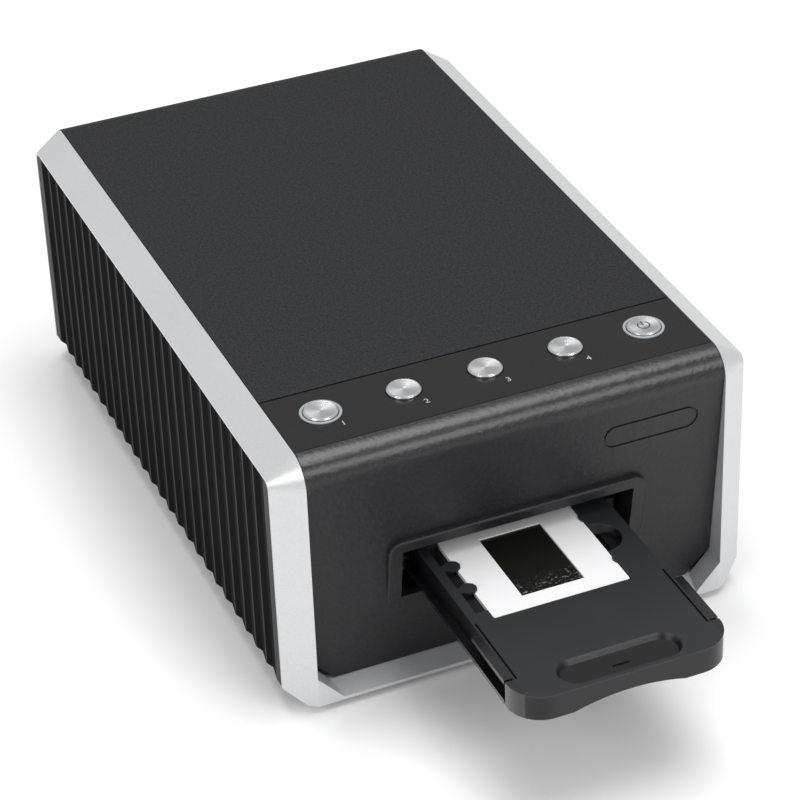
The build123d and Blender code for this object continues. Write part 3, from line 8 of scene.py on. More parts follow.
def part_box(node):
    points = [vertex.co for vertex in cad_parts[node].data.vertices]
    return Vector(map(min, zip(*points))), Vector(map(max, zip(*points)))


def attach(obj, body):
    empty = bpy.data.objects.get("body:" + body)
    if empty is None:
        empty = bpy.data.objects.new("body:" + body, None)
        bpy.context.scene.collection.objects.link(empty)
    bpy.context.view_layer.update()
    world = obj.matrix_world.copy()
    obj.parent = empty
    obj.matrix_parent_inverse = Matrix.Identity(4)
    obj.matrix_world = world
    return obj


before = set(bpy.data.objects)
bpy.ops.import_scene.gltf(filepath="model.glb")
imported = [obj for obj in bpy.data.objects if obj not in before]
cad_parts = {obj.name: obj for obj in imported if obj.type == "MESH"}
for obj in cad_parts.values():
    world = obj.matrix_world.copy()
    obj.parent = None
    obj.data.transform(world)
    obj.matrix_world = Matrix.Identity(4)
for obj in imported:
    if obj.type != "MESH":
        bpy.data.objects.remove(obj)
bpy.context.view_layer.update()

bl_info = {
    "name": "Film scanner looks",
    "version": (1, 0, 0),
    "blender": (4, 5, 0),
    "location": "View3D > Sidebar > Film scanner",
    "description": "Finishes, printed marks, lights and camera for a desktop film and slide scanner",
    "category": "Object",
}

MM = 0.001
X, Y, Z = range(3)
WHITE = (1.0, 1.0, 1.0, 1.0)

# Places on the CAD model that the finishes and the marks follow, in metres
PANEL_RIDGE = (0.08708, 0.08726)    # foot and top of the pleats' ridges, from the middle
FRONT_ROLL = (0.0905, 0.0965)       # heights between which the front rolls into the top
RAIL_EDGE = (0.0353, 0.0356)        # inner edge of the holder's running rails, from the middle
# The holder's colour turns to painted shade between these depths.
CHANNEL_DEPTH = (0.0004, 0.0009)    # below the holder's top
FILM_FRONT = (0.014, 0.005)         # strip behind the film's front edge
KEY_PITCH = 0.030
KEY_RIM = (0.0050, 0.0056)          # blunted edge of a key, from its centre
KEY_DISH = 0.35 * MM                # depth of the shallow cone in a key's top
KEY_DISH_RADIUS = 5.5 * MM
NUMBER_RIGHT = 4.5 * MM             # a printed number's centre, from its key's centre
NUMBER_FRONT = 9.2 * MM
TONGUE_DROP = 5.5 * MM              # middle of the USB socket's tongue, below the socket's top

# Distances from the middle between which the floor fades into the background
FLOOR_FADE = (0.28, 0.66)

# Name, place, target, width, depth and power in watts of each soft lamp
LAMPS = (
    ("top_light", (0.16, 0.12, 1.5), (0.0, 0.0, 0.0), 1.5, 0.8, 18.0),
    ("left_light", (-1.3, -0.7, 0.9), (0.0, 0.0, 0.05), 0.9, 0.9, 7.0),
    ("front_light", (0.5, -1.5, 1.0), (0.0, -0.1, 0.05), 1.0, 0.7, 9.0),
)


# ---------------------------------------------------------------- shader expressions


class Signal:
    """A shader socket that can be used in Python arithmetic."""

    def __init__(self, graph, socket):
        self.graph = graph
        self.socket = socket

    def math(self, operation, *others):
        """Maths node with this signal and the others in its sockets."""
        values = dict(enumerate((self, *others)))
        return self.graph.node("ShaderNodeMath", {"operation": operation}, values)

    def __add__(self, other):
        return self.math("ADD", other)

    def __sub__(self, other):
        return self.math("SUBTRACT", other)

    def __rsub__(self, other):
        return (self * -1.0) + other

    def __mul__(self, other):
        return self.math("MULTIPLY", other)

    def __pow__(self, other):
        return self.math("POWER", other)

    __radd__ = __add__
    __rmul__ = __mul__

    def absolute(self):
        return self.math("ABSOLUTE")

    def sine(self):
        return self.math("SINE")

    def most(self, other):
        return self.math("MAXIMUM", other)

    def above(self, other):
        return self.math("GREATER_THAN", other)

    def hypot(self, other):
        """Length of the line whose two parts are these."""
        return (self * self + other * other).math("SQRT")

    def repeated(self, pitch):
        """Distance from the middle of the repeat that the point lies in."""
        return self.math("WRAP", pitch, 0.0) - pitch / 2

    def ramp(self, low, high):
        """0 at low, 1 at high, smooth between; low may be the larger."""
        return self.graph.node(
            "ShaderNodeMapRange",
            {"interpolation_type": "SMOOTHSTEP"},
            {"Value": self, "From Min": low, "From Max": high},
        )


class Graph:
    """A node tree that is built from expressions."""

    def __init__(self, tree, output):
        self.tree = tree
        self.tree.nodes.clear()
        self.output = self.tree.nodes.new(output)

    def node(self, kind, settings=None, inputs=None, output=0):
        """Add a node: its settings come first, then the values or links of its sockets."""
        made = self.tree.nodes.new(kind)
        for name, value in (settings or {}).items():
            setattr(made, name, value)
        for key, value in (inputs or {}).items():
            self.feed(made.inputs[key], value)
        return Signal(self, made.outputs[output])

    def feed(self, socket, value):
        """Link a signal to a socket, or set the socket's own value."""
        if isinstance(value, Signal):
            self.tree.links.new(value.socket, socket)
        else:
            socket.default_value = value

    def close(self, shader):
        """Link the finished shader to the output."""
        self.feed(self.output.inputs["Surface"], shader)


class Finish(Graph):
    """One material, built on the coordinates of the rest pose."""

    def __init__(self, name):
        self.material = bpy.data.materials.new(name)
        self.material.use_nodes = True
        super().__init__(self.material.node_tree, "ShaderNodeOutputMaterial")

    def rest(self):
        """Coordinates of the rest pose as one vector, in metres."""
        return self.node("ShaderNodeTexCoord", output="Object")

    def place(self):
        """X, Y and Z of the rest pose, in metres."""
        parts = self.node("ShaderNodeSeparateXYZ", {}, {"Vector": self.rest()})
        return [Signal(self, socket) for socket in parts.socket.node.outputs]

    def noise(self, scale, detail=2.0, roughness=0.5, vector=None):
        """Noise from 0 to 1 with that many cells per metre."""
        vector = self.rest() if vector is None else vector
        inputs = {"Vector": vector, "Scale": scale, "Detail": detail, "Roughness": roughness}
        return self.node("ShaderNodeTexNoise", {}, inputs)

    def stretched(self, factors):
        """The rest pose's coordinates, scaled apart along each axis."""
        values = {0: self.rest(), 1: factors}
        return self.node("ShaderNodeVectorMath", {"operation": "MULTIPLY"}, values)

    def cells(self, scale, feature="F1", output="Distance"):
        """Voronoi cells, that many per metre."""
        inputs = {"Vector": self.rest(), "Scale": scale}
        return self.node("ShaderNodeTexVoronoi", {"feature": feature}, inputs, output)

    def mix(self, factor, first, second):
        """Colour between two others."""
        inputs = {0: factor, 6: first, 7: second}
        return self.node("ShaderNodeMix", {"data_type": "RGBA"}, inputs, 2)

    def bump(self, height, distance, strength=1.0):
        """Normal from a height of 0 to 1 that stands for that distance in metres."""
        inputs = {"Strength": strength, "Distance": distance, "Height": height}
        return self.node("ShaderNodeBump", {}, inputs)

    def surface(self, **sockets):
        """Close the material with a Principled shader; names use _ for a space."""
        inputs = {name.replace("_", " "): value for name, value in sockets.items()}
        self.close(self.node("ShaderNodeBsdfPrincipled", {}, inputs))
        return self.material


def rgba(colour, factor=1.0):
    """Four numbers from a colour of three, made lighter or darker."""
    return tuple(min(1.0, part * factor) for part in colour) + (1.0,)


# ---------------------------------------------------------------- finishes


def moulded(name, colour, roughness, grain, depth, spread=0.12):
    """Moulded plastic: fine grain, a little blotchiness in colour and gloss."""
    finish = Finish(name)
    fine = finish.noise(grain, 3.0, 0.6)
    broad = finish.noise(45.0, 2.0)
    level = fine * 0.6 + broad * 0.4
    return finish.surface(
        Base_Color=finish.mix(level, rgba(colour, 1 - spread), rgba(colour, 1 + spread)),
        Roughness=roughness + (broad - 0.5) * 0.12,
        Normal=finish.bump(fine, depth),
    )


def silver_paint(colour):
    """Satin silver paint with fine flakes, slightly cloudy."""
    finish = Finish("silver_paint")
    flakes = finish.cells(2600.0, output="Color")
    spark = finish.node("ShaderNodeSeparateColor", {}, {"Color": flakes})
    broad = finish.noise(28.0, 2.0)
    fine = finish.noise(1500.0, 2.0)
    level = spark * 0.55 + broad * 0.45
    shade = finish.mix(level, rgba(colour, 0.93), rgba(colour, 1.06))
    return finish.surface(
        Base_Color=shade,
        Metallic=0.42,
        Roughness=0.36 + (broad - 0.5) * 0.08,
        Normal=finish.bump(fine, 0.00002, 0.6),
        Coat_Weight=0.15,
        Coat_Roughness=0.3,
    )


def pleated_plastic(colour):
    """Black side panels: satin, smoother along the ridges and paler there as a painted highlight."""
    finish = Finish("pleated_plastic")
    x, _, _ = finish.place()
    fine = finish.noise(1700.0, 3.0, 0.6)
    broad = finish.noise(30.0)
    ridge_gloss_and_painted_highlight = x.absolute().ramp(*PANEL_RIDGE)
    dark = finish.mix(broad, rgba(colour, 0.85), rgba(colour, 1.15))
    # Painted highlight: the ridges get a paler colour that stands for their light lines; the same
    # mask also makes them smoother.
    shade = finish.mix(ridge_gloss_and_painted_highlight, dark, rgba((0.055, 0.055, 0.056)))
    return finish.surface(
        Base_Color=shade,
        Roughness=0.78 - ridge_gloss_and_painted_highlight * 0.3 + (broad - 0.5) * 0.08,
        Normal=finish.bump(fine, 0.00003),
        Specular_IOR_Level=0.06,
    )


def cover_texture(colour):
    """Spark-eroded texture of the top cover: small pits and lands."""
    finish = Finish("cover_texture")
    pits = finish.noise(1250.0, 4.0, 0.65)
    lands = finish.cells(1500.0, "SMOOTH_F1")
    broad = finish.noise(22.0)
    height = pits * 0.7 + lands * 0.5
    shade = finish.mix(pits.ramp(0.3, 0.72), rgba(colour, 0.45), rgba(colour, 1.6))
    return finish.surface(
        Base_Color=shade,
        Roughness=0.52 + (broad - 0.5) * 0.1,
        Normal=finish.bump(height, 0.0001, 0.9),
        Specular_IOR_Level=0.2,
    )


def bezel_grain(colour):
    """Front and hood: leathery grain, rubbed glossy where the front rolls into the top."""
    finish = Finish("bezel_grain")
    _, _, z = finish.place()
    grain = finish.noise(900.0, 4.0, 0.7)
    lands = finish.cells(620.0, "SMOOTH_F1")
    broad = finish.noise(20.0)
    roll = z.ramp(*FRONT_ROLL)
    shade = finish.mix(grain.ramp(0.3, 0.75), rgba(colour, 0.6), rgba(colour, 1.5))
    return finish.surface(
        Base_Color=shade,
        Roughness=0.5 - roll * 0.26 + (grain - 0.5) * 0.2 + (broad - 0.5) * 0.06,
        Normal=finish.bump(grain * 0.6 + lands * 0.6, 0.00022, 0.9),
        Specular_IOR_Level=0.42,
        Coat_Weight=roll * 0.35,
        Coat_Roughness=0.3,
    )


def strip_lacquer(colour):
    """Key strip: smoother than the cover, with a light orange-peel."""
    finish = Finish("strip_lacquer")
    peel = finish.noise(260.0, 2.0)
    fine = finish.noise(1500.0, 3.0)
    shade = finish.mix(fine, rgba(colour, 0.8), rgba(colour, 1.25))
    return finish.surface(
        Base_Color=shade,
        Roughness=0.27 + (fine - 0.5) * 0.08,
        Normal=finish.bump(peel + fine * 0.25, 0.00004, 0.5),
        Specular_IOR_Level=0.3,
    )


def spun_metal(colour):
    """Round keys: turned on a lathe, with fine rings and a painted two-sided glint round each centre.
    """
    finish = Finish("spun_metal")
    x, y, _ = finish.place()
    low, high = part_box("scan_button_3")
    across = (x + KEY_PITCH / 2).repeated(KEY_PITCH)
    along = y - (low.y + high.y) / 2
    radius = across.hypot(along)
    ring = (radius * 26000.0).sine()
    outward = finish.node("ShaderNodeCombineXYZ", {}, {"X": radius, "Y": 0.0, "Z": 0.0})
    uneven = finish.noise(7000.0, 1.0, vector=outward)
    level = ring * 0.2 + uneven
    rim = radius.ramp(*KEY_RIM)
    # Painted highlight: a two-sided glint, lighter by angle round each key's centre, painted into the
    # colour.
    sweep = along.math("ARCTAN2", across)
    painted_glint = ((sweep * 2.0 + 1.1).sine() * 0.5 + 0.5) ** 2.0
    turned = finish.mix(level, rgba(colour, 0.62), rgba(colour, 0.95))
    shade = finish.mix(painted_glint, turned, rgba(colour, 1.45))
    return finish.surface(
        Base_Color=finish.mix(rim, shade, rgba(colour, 1.12)),
        Metallic=0.95,
        Roughness=0.3 - rim * 0.1 + (uneven - 0.5) * 0.1,
        Normal=finish.bump(level, 0.00003, 0.8),
    )


def light_guide(colour):
    """Milky clear plastic of the light rings, faintly lit from below."""
    finish = Finish("light_guide")
    cloud = finish.noise(400.0, 2.0)
    return finish.surface(
        Base_Color=finish.mix(cloud, rgba(colour, 0.85), rgba(colour, 1.1)),
        Roughness=0.22 + cloud * 0.08,
        Normal=finish.bump(cloud, 0.00002, 0.3),
        Emission_Color=rgba(colour),
        Emission_Strength=0.06,
        Coat_Weight=0.6,
        Coat_Roughness=0.08,
    )


def holder_plastic(colour):
    """Film holder: satin deck; near-black rails and sunk channel, partly their own glossy black and
    partly painted shade; glossier rails rubbed by use.
    """
    finish = Finish("holder_plastic")
    x, _, z = finish.place()
    grain = finish.noise(2100.0, 3.0, 0.6)
    broad = finish.noise(35.0)
    _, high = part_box("holder_tray")
    rail = x.absolute().ramp(*RAIL_EDGE)
    rub = finish.noise(1.0, 2.0, vector=finish.stretched((900.0, 40.0, 900.0)))
    worn = rub.ramp(0.62, 0.78) * rail
    below_deck_painted_shade = z.ramp(*(high.z - depth for depth in CHANNEL_DEPTH))
    deck = finish.mix(grain * 0.5 + broad * 0.5, rgba(colour, 0.8), rgba(colour, 1.25))
    # Near-black on the rails and below the deck's top: partly the rails' own glossy black, partly
    # painted shade on the side walls and sunk parts.
    shade = finish.mix(rail.most(below_deck_painted_shade), deck, rgba((0.006, 0.006, 0.007)))
    return finish.surface(
        Base_Color=finish.mix(worn * 0.5, shade, rgba((0.06, 0.06, 0.06))),
        Roughness=0.34 - rail * 0.16 + worn * 0.1 + (broad - 0.5) * 0.1,
        Normal=finish.bump(grain, 0.00003, 0.5),
        Specular_IOR_Level=0.35,
        Coat_Weight=rail * 0.6,
        Coat_Roughness=0.15,
    )


def mount_plastic(colour):
    """Slide mount: white polystyrene, slightly mottled."""
    finish = Finish("mount_plastic")
    grain = finish.noise(1600.0, 2.0)
    broad = finish.noise(60.0)
    shade = finish.mix(broad * 0.6 + grain * 0.4, rgba(colour, 0.96), rgba(colour, 1.03))
    return finish.surface(
        Base_Color=shade,
        Roughness=0.45 + (grain - 0.5) * 0.12,
        Normal=finish.bump(grain, 0.00002, 0.7),
        Subsurface_Weight=0.08,
        Subsurface_Radius=(0.002, 0.002, 0.002),
    )


def dark_film(colour):
    """Developed film: dark glossy base with pale specks towards the front edge."""
    finish = Finish("dark_film")
    _, y, _ = finish.place()
    low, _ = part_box("film_frame")
    front = y.ramp(*(low.y + reach for reach in FILM_FRONT))
    cloud = finish.noise(110.0, 4.0, 0.6)
    silver_grain = finish.noise(4200.0, 2.0)
    specks = finish.noise(900.0, 3.0, 0.7).ramp(0.56, 0.66) * front
    dark = finish.mix(cloud, rgba(colour, 0.5), rgba(colour, 1.6))
    shade = finish.mix(specks, dark, rgba((0.2, 0.2, 0.18)))
    return finish.surface(
        Base_Color=shade,
        Roughness=0.3 + specks * 0.25,
        Normal=finish.bump(silver_grain, 0.00001, 0.3),
        Specular_IOR_Level=0.25,
    )


def rubber_skin():
    """Dusty black rubber of the feet."""
    finish = Finish("rubber_skin")
    dust = finish.noise(900.0, 4.0, 0.7)
    settled = dust.ramp(0.45, 0.8)
    shade = finish.mix(settled, rgba((0.018, 0.018, 0.018)), rgba((0.06, 0.06, 0.058)))
    return finish.surface(
        Base_Color=shade,
        Roughness=0.78 + (dust - 0.5) * 0.2,
        Normal=finish.bump(dust, 0.00008, 0.6),
    )


def drawn_metal(name, colour, along, roughness=0.3):
    """Rolled or turned metal with faint lines along one axis."""
    finish = Finish(name)
    across_lines, along_lines = 9000.0, 120.0
    stretch = tuple(along_lines if axis == along else across_lines for axis in (X, Y, Z))
    lines = finish.noise(1.0, 3.0, 0.6, vector=finish.stretched(stretch))
    stain = finish.noise(90.0, 3.0)
    shade = finish.mix(lines * 0.6 + stain * 0.4, rgba(colour, 0.75), rgba(colour, 1.15))
    return finish.surface(
        Base_Color=shade,
        Metallic=1.0,
        Roughness=roughness + (lines - 0.5) * 0.16 + (stain - 0.5) * 0.08,
        Normal=finish.bump(lines, 0.00002, 0.4),
    )


def circuit_board():
    """Green lacquer over copper tracks that turn from block to block, and tinned pads."""
    finish = Finish("circuit_board")
    x, y, _ = finish.place()
    blocks = finish.cells(210.0, output="Color")
    choice = finish.node("ShaderNodeSeparateColor", {}, {"Color": blocks})
    turn = choice.above(0.5)
    lane = x * turn + y * (1 - turn)
    track = lane.repeated(0.0014).absolute().ramp(0.00034, 0.00024)
    pad = x.repeated(0.0051).hypot(y.repeated(0.0038)).ramp(0.0006, 0.0005)
    weave = finish.noise(800.0, 2.0)
    lacquer = finish.mix(track * 0.75, rgba((0.006, 0.075, 0.024)), rgba((0.018, 0.15, 0.05)))
    shade = finish.mix(pad, lacquer, rgba((0.55, 0.53, 0.47)))
    return finish.surface(
        Base_Color=shade,
        Metallic=pad * 0.9,
        Roughness=0.28 + weave * 0.08,
        Normal=finish.bump(track * 0.6 + pad + weave * 0.1, 0.00006, 0.6),
    )


def chip_epoxy():
    """Moulded black epoxy of chips, switches and sockets."""
    finish = Finish("chip_epoxy")
    grain = finish.noise(3000.0, 3.0, 0.7)
    shade = finish.mix(grain, rgba((0.012, 0.012, 0.013)), rgba((0.04, 0.04, 0.042)))
    return finish.surface(
        Base_Color=shade,
        Roughness=0.5 + (grain - 0.5) * 0.2,
        Normal=finish.bump(grain, 0.00003, 0.5),
    )


def lamp_opal(colour):
    """Milky plastic of the lamp."""
    finish = Finish("lamp_opal")
    cloud = finish.noise(300.0, 2.0)
    return finish.surface(
        Base_Color=finish.mix(cloud, rgba(colour, 0.95), rgba(colour, 1.02)),
        Roughness=0.4 + cloud * 0.1,
        Normal=finish.bump(cloud, 0.00002, 0.3),
        Coat_Weight=0.3,
    )


def lens_glass():
    """Coated glass, slightly smeared."""
    finish = Finish("lens_glass")
    smear = finish.noise(240.0, 3.0)
    return finish.surface(
        Base_Color=finish.mix(smear, rgba((0.60, 0.72, 0.78)), rgba((0.72, 0.78, 0.86))),
        Roughness=0.03 + smear * 0.03,
        Alpha=0.35,
        IOR=1.52,
        Coat_Weight=1.0,
        Coat_Roughness=0.02,
    )


def silvered_glass():
    """Front-silvered mirror, slightly smeared."""
    finish = Finish("silvered_glass")
    smear = finish.noise(180.0, 3.0)
    return finish.surface(
        Base_Color=finish.mix(smear, rgba((0.86, 0.88, 0.89)), rgba((0.9, 0.91, 0.92))),
        Metallic=1.0,
        Roughness=0.03 + smear * 0.03,
    )


def marking_ink(colour):
    """Pad-printed ink, slightly mottled."""
    finish = Finish("marking_ink")
    speck = finish.noise(9000.0, 2.0)
    return finish.surface(
        Base_Color=finish.mix(speck, rgba(colour, 0.85), rgba(colour, 1.05)),
        Roughness=0.5 + (speck - 0.5) * 0.1,
        Normal=finish.bump(speck, 0.00001, 0.3),
    )


# ---------------------------------------------------------------- sizes and colours


def colour_property(name, description, default):
    """A linear colour of three numbers from 0 to 1."""
    return bpy.props.FloatVectorProperty(
        name=name, description=description, subtype="COLOR",
        size=3, min=0.0, max=1.0, default=default,
    )


class ScannerLooks(bpy.types.PropertyGroup):
    """Colours and printed sizes of the scanner."""

    silver: colour_property("Silver", "Paint of the side frames and the sill", (0.62, 0.625, 0.64))
    panel: colour_property("Side panels", "Plastic of the pleated side panels", (0.006, 0.006, 0.007))
    cover: colour_property("Top cover", "Plastic of the textured top cover", (0.014, 0.0145, 0.0165))
    bezel: colour_property("Front", "Plastic of the front and the hood", (0.012, 0.012, 0.014))
    strip: colour_property("Key strip", "Lacquer of the strip round the keys", (0.009, 0.009, 0.010))
    base: colour_property("Base", "Plastic of the base and the rear panel", (0.030, 0.030, 0.032))
    key: colour_property("Keys", "Metal of the round keys", (0.70, 0.71, 0.73))
    ring: colour_property("Light rings", "Clear plastic of the two light rings", (0.30, 0.32, 0.33))
    holder: colour_property("Holder", "Plastic of the film holder", (0.017, 0.018, 0.022))
    mount: colour_property("Slide mount", "Plastic of the slide mount", (0.74, 0.74, 0.75))
    film: colour_property("Film", "Developed film in the slide mount", (0.006, 0.006, 0.004))
    ink: colour_property("Ink", "Printed marks on the key strip", (0.42, 0.42, 0.43))
    numeral_size: bpy.props.FloatProperty(
        name="Numeral height",
        description="Height of the printed key numbers",
        default=3.6 * MM, min=1.0 * MM, max=6.0 * MM, unit="LENGTH",
    )
    symbol_radius: bpy.props.FloatProperty(
        name="Power mark radius",
        description="Radius of the mark on the power key",
        default=2.1 * MM, min=1.0 * MM, max=4.0 * MM, unit="LENGTH",
    )


class ScannerStage(bpy.types.PropertyGroup):
    """Floor, lights and camera."""

    camera_place: bpy.props.FloatVectorProperty(
        name="Camera place",
        description="Where the camera stands",
        subtype="TRANSLATION", size=3, default=(-0.3426, -0.8345, 0.6448),
    )
    turn: bpy.props.FloatProperty(
        name="Turn", description="Camera's turn about the upright axis",
        default=math.radians(-21.99), unit="ROTATION",
    )
    height_angle: bpy.props.FloatProperty(
        name="Height angle", description="Angle that the camera looks down",
        default=math.radians(33.34), unit="ROTATION",
    )
    roll: bpy.props.FloatProperty(
        name="Roll", description="Camera's lean about its own axis",
        default=math.radians(-2.27), unit="ROTATION",
    )
    lens: bpy.props.FloatProperty(
        name="Lens", description="Focal length of the camera in millimetres on a 36 mm frame",
        default=133.5, min=20.0, max=400.0,
    )
    floor_radius: bpy.props.FloatProperty(
        name="Floor radius", description="Radius of the pale floor",
        default=2.6, min=1.0, max=6.0, unit="LENGTH",
    )
    room_light: bpy.props.FloatProperty(
        name="Room light", description="Strength of the even light from all round",
        default=0.5, min=0.0, max=2.0,
    )


# ---------------------------------------------------------------- mesh helpers


def wear(nodes, material):
    """Give CAD nodes a finish."""
    for name in nodes:
        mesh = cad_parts[name].data
        mesh.materials.clear()
        mesh.materials.append(material)


def place_mesh(name, mesh, material, body):
    """Add a mesh to the scene, finished, and let it ride on a body."""
    made = bpy.data.objects.new(name, mesh)
    bpy.context.scene.collection.objects.link(made)
    mesh.materials.clear()
    mesh.materials.append(material)
    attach(made, body)


def mesh_from(name, work):
    """Turn a bmesh into a mesh and free it."""
    mesh = bpy.data.meshes.new(name)
    work.to_mesh(mesh)
    work.free()
    return mesh


def band(work, outer, inner, low, high):
    """Closed band between two matching outlines of (x, y), from height low to height high."""
    corners = ((outer, low), (inner, low), (inner, high), (outer, high))
    rings = [[work.verts.new((x, y, z)) for x, y in outline] for outline, z in corners]
    last = len(outer) - 1
    for i in range(last):
        for first, second in zip(rings, rings[1:] + rings[:1]):
            work.faces.new((first[i], first[i + 1], second[i + 1], second[i]))
    for i in (0, last):
        work.faces.new([ring[i] for ring in rings])
    bmesh.ops.recalc_face_normals(work, faces=work.faces)


def arc(radius, angles):
    """Points of (x, y) at those angles round the origin."""
    return [(radius * math.cos(angle), radius * math.sin(angle)) for angle in angles]


def usb_contact(name, x, z, rear):
    """Flat contact strip along Y, centred on x and z, that narrows at its rear end."""
    half_thickness = 0.05 * MM
    sides = (
        (rear - 6.5 * MM, 0.45 * MM),
        (rear - 0.6 * MM, 0.45 * MM),
        (rear, 0.3 * MM),
    )
    left = [(x - half_width, y) for y, half_width in sides]
    right = [(x + half_width, y) for y, half_width in sides]
    work = bmesh.new()
    band(work, left, right, z - half_thickness, z + half_thickness)
    return mesh_from(name, work)


def key_centre(name):
    """Middle of a key's top."""
    low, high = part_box(name)
    return (low.x + high.x) / 2, (low.y + high.y) / 2, high.z


# ---------------------------------------------------------------- operators


class ScannerOperator(bpy.types.Operator):
    """Base of the operators that build the scanner's looks"""

    bl_options = {"REGISTER"}

    @property
    def looks(self):
        return bpy.context.scene.scanner_looks


class SCANNER_OT_side_frames(ScannerOperator):
    """Paint the silver side frames and the sill"""

    bl_idname = "scanner.side_frames"
    bl_label = "Side frames"

    def execute(self, context):
        painted = ("left_side_frame", "right_side_frame", "front_sill")
        wear(painted, silver_paint(self.looks.silver))
        return {"FINISHED"}


class SCANNER_OT_side_panels(ScannerOperator):
    """Finish the pleated side panels"""

    bl_idname = "scanner.side_panels"
    bl_label = "Side panels"

    def execute(self, context):
        wear(("left_side_panel", "right_side_panel"), pleated_plastic(self.looks.panel))
        return {"FINISHED"}


class SCANNER_OT_covers(ScannerOperator):
    """Finish the top cover, front, hood, rear panel and base"""

    bl_idname = "scanner.covers"
    bl_label = "Covers"

    def execute(self, context):
        wear(("top_cover",), cover_texture(self.looks.cover))
        wear(("front_bezel", "slot_surround"), bezel_grain(self.looks.bezel))
        wear(("button_strip",), strip_lacquer(self.looks.strip))
        base = moulded("base_plastic", self.looks.base, roughness=0.5, grain=1300.0, depth=0.00005)
        wear(("rear_panel", "base_tray"), base)
        return {"FINISHED"}


class SCANNER_OT_keys(ScannerOperator):
    """Finish the round keys and their light rings"""

    bl_idname = "scanner.keys"
    bl_label = "Keys"

    def execute(self, context):
        keys = [f"scan_button_{i}" for i in range(1, 5)] + ["power_button"]
        wear(keys, spun_metal(self.looks.key))
        wear(("left_light_ring", "right_light_ring"), light_guide(self.looks.ring))
        return {"FINISHED"}


class SCANNER_OT_power_mark(ScannerOperator):
    """Print the usual power mark, a broken ring and a bar, on the last key"""

    bl_idname = "scanner.power_mark"
    bl_label = "Power mark"

    def execute(self, context):
        radius = self.looks.symbol_radius
        half_line, thickness, lift = 0.26 * MM, 0.03 * MM, 0.005 * MM
        half_gap, arc_steps = 38, 40
        bar_foot, bar_length, bar_steps = 0.15, 1.05, 6
        x, y, top = key_centre("power_button")
        work = bmesh.new()
        sweep = 360 - 2 * half_gap
        angles = [
            math.radians(90 + half_gap + i * sweep / arc_steps) for i in range(arc_steps + 1)
        ]
        band(work, arc(radius + half_line, angles), arc(radius - half_line, angles), 0.0, thickness)
        steps = [radius * (bar_foot + bar_length * i / bar_steps) for i in range(bar_steps + 1)]
        left = [(-half_line, step) for step in steps]
        right = [(half_line, step) for step in steps]
        band(work, left, right, 0.0, thickness)
        for vert in work.verts:
            reach = math.hypot(vert.co.x, vert.co.y)
            vert.co.z += top - KEY_DISH + lift + reach * KEY_DISH / KEY_DISH_RADIUS
            vert.co.x += x
            vert.co.y += y
        ink = marking_ink((0.05, 0.05, 0.055))
        place_mesh("power_mark", mesh_from("power_mark", work), ink, "power_key")
        return {"FINISHED"}


class SCANNER_OT_key_numbers(ScannerOperator):
    """Print a plain number in front of each scan key"""

    bl_idname = "scanner.key_numbers"
    bl_label = "Key numbers"

    def execute(self, context):
        ink = marking_ink(self.looks.ink)
        strip_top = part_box("button_strip")[1].z
        half_thickness = 0.01 * MM
        for i in range(1, 5):
            x, y, _ = key_centre(f"scan_button_{i}")
            curve = bpy.data.curves.new(f"key_number_{i}", "FONT")
            curve.body = str(i)
            curve.size = self.looks.numeral_size
            curve.align_x = "CENTER"
            curve.align_y = "CENTER"
            curve.extrude = half_thickness
            curve.resolution_u = 4
            source = bpy.data.objects.new(f"key_number_source_{i}", curve)
            bpy.context.scene.collection.objects.link(source)
            bpy.context.view_layer.update()
            mesh = bpy.data.meshes.new_from_object(source)
            bpy.data.objects.remove(source)
            centre = (x + NUMBER_RIGHT, y - NUMBER_FRONT, strip_top + half_thickness)
            mesh.transform(Matrix.Translation(centre))
            place_mesh(f"key_number_{i}", mesh, ink, "housing")
        return {"FINISHED"}


class SCANNER_OT_holder(ScannerOperator):
    """Finish the film holder, the slide mount and its film"""

    bl_idname = "scanner.holder"
    bl_label = "Film holder"

    def execute(self, context):
        wear(("holder_tray",), holder_plastic(self.looks.holder))
        wear(("slide_mount",), mount_plastic(self.looks.mount))
        wear(("film_frame",), dark_film(self.looks.film))
        return {"FINISHED"}


class SCANNER_OT_drive(ScannerOperator):
    """Finish the guide rails, gears, shafts and motor"""

    bl_idname = "scanner.drive"
    bl_label = "Drive"

    def execute(self, context):
        black = (0.022, 0.022, 0.023)
        white = (0.72, 0.71, 0.67)
        inner = moulded("inner_plastic", black, roughness=0.5, grain=1100.0, depth=0.00005)
        acetal = moulded(
            "acetal", white, roughness=0.38, grain=900.0, depth=0.00002, spread=0.05
        )
        wear(("left_guide_rail", "right_guide_rail"), inner)
        wear(("drive_pinion", "drive_gear", "reduction_gear"), acetal)
        metals = (
            ("ground_steel", (0.62, 0.62, 0.62), X, 0.2, ("drive_shaft", "reduction_pin")),
            ("plated_steel", (0.55, 0.55, 0.54), Z, 0.3, ("shaft_clips", "motor_screws")),
            ("turned_brass", (0.68, 0.5, 0.22), X, 0.3, ("shaft_bushes", "motor_rotor")),
            ("motor_can", (0.55, 0.56, 0.57), X, 0.34, ("motor_body",)),
            (
                "rolled_steel", (0.6, 0.61, 0.62), Y, 0.36,
                ("gear_plate", "bearing_bracket", "lock_plate"),
            ),
        )
        for name, colour, along, roughness, nodes in metals:
            wear(nodes, drawn_metal(name, colour, along, roughness))
        return {"FINISHED"}


class SCANNER_OT_optics(ScannerOperator):
    """Finish the lamp, mirror, lens and sensor"""

    bl_idname = "scanner.optics"
    bl_label = "Optics"

    def execute(self, context):
        black = (0.012, 0.012, 0.012)
        matt = moulded("flocked_black", black, roughness=0.7, grain=1900.0, depth=0.00006)
        wear(("optics_bench", "lens_barrel", "lamp_bridge", "lamp_housing"), matt)
        wear(("fold_mirror",), silvered_glass())
        wear(("lens_glasses",), lens_glass())
        wear(("lamp_diffuser", "lamp_leds"), lamp_opal((0.84, 0.84, 0.80)))
        wear(("image_sensor", "holder_sensor"), chip_epoxy())
        return {"FINISHED"}


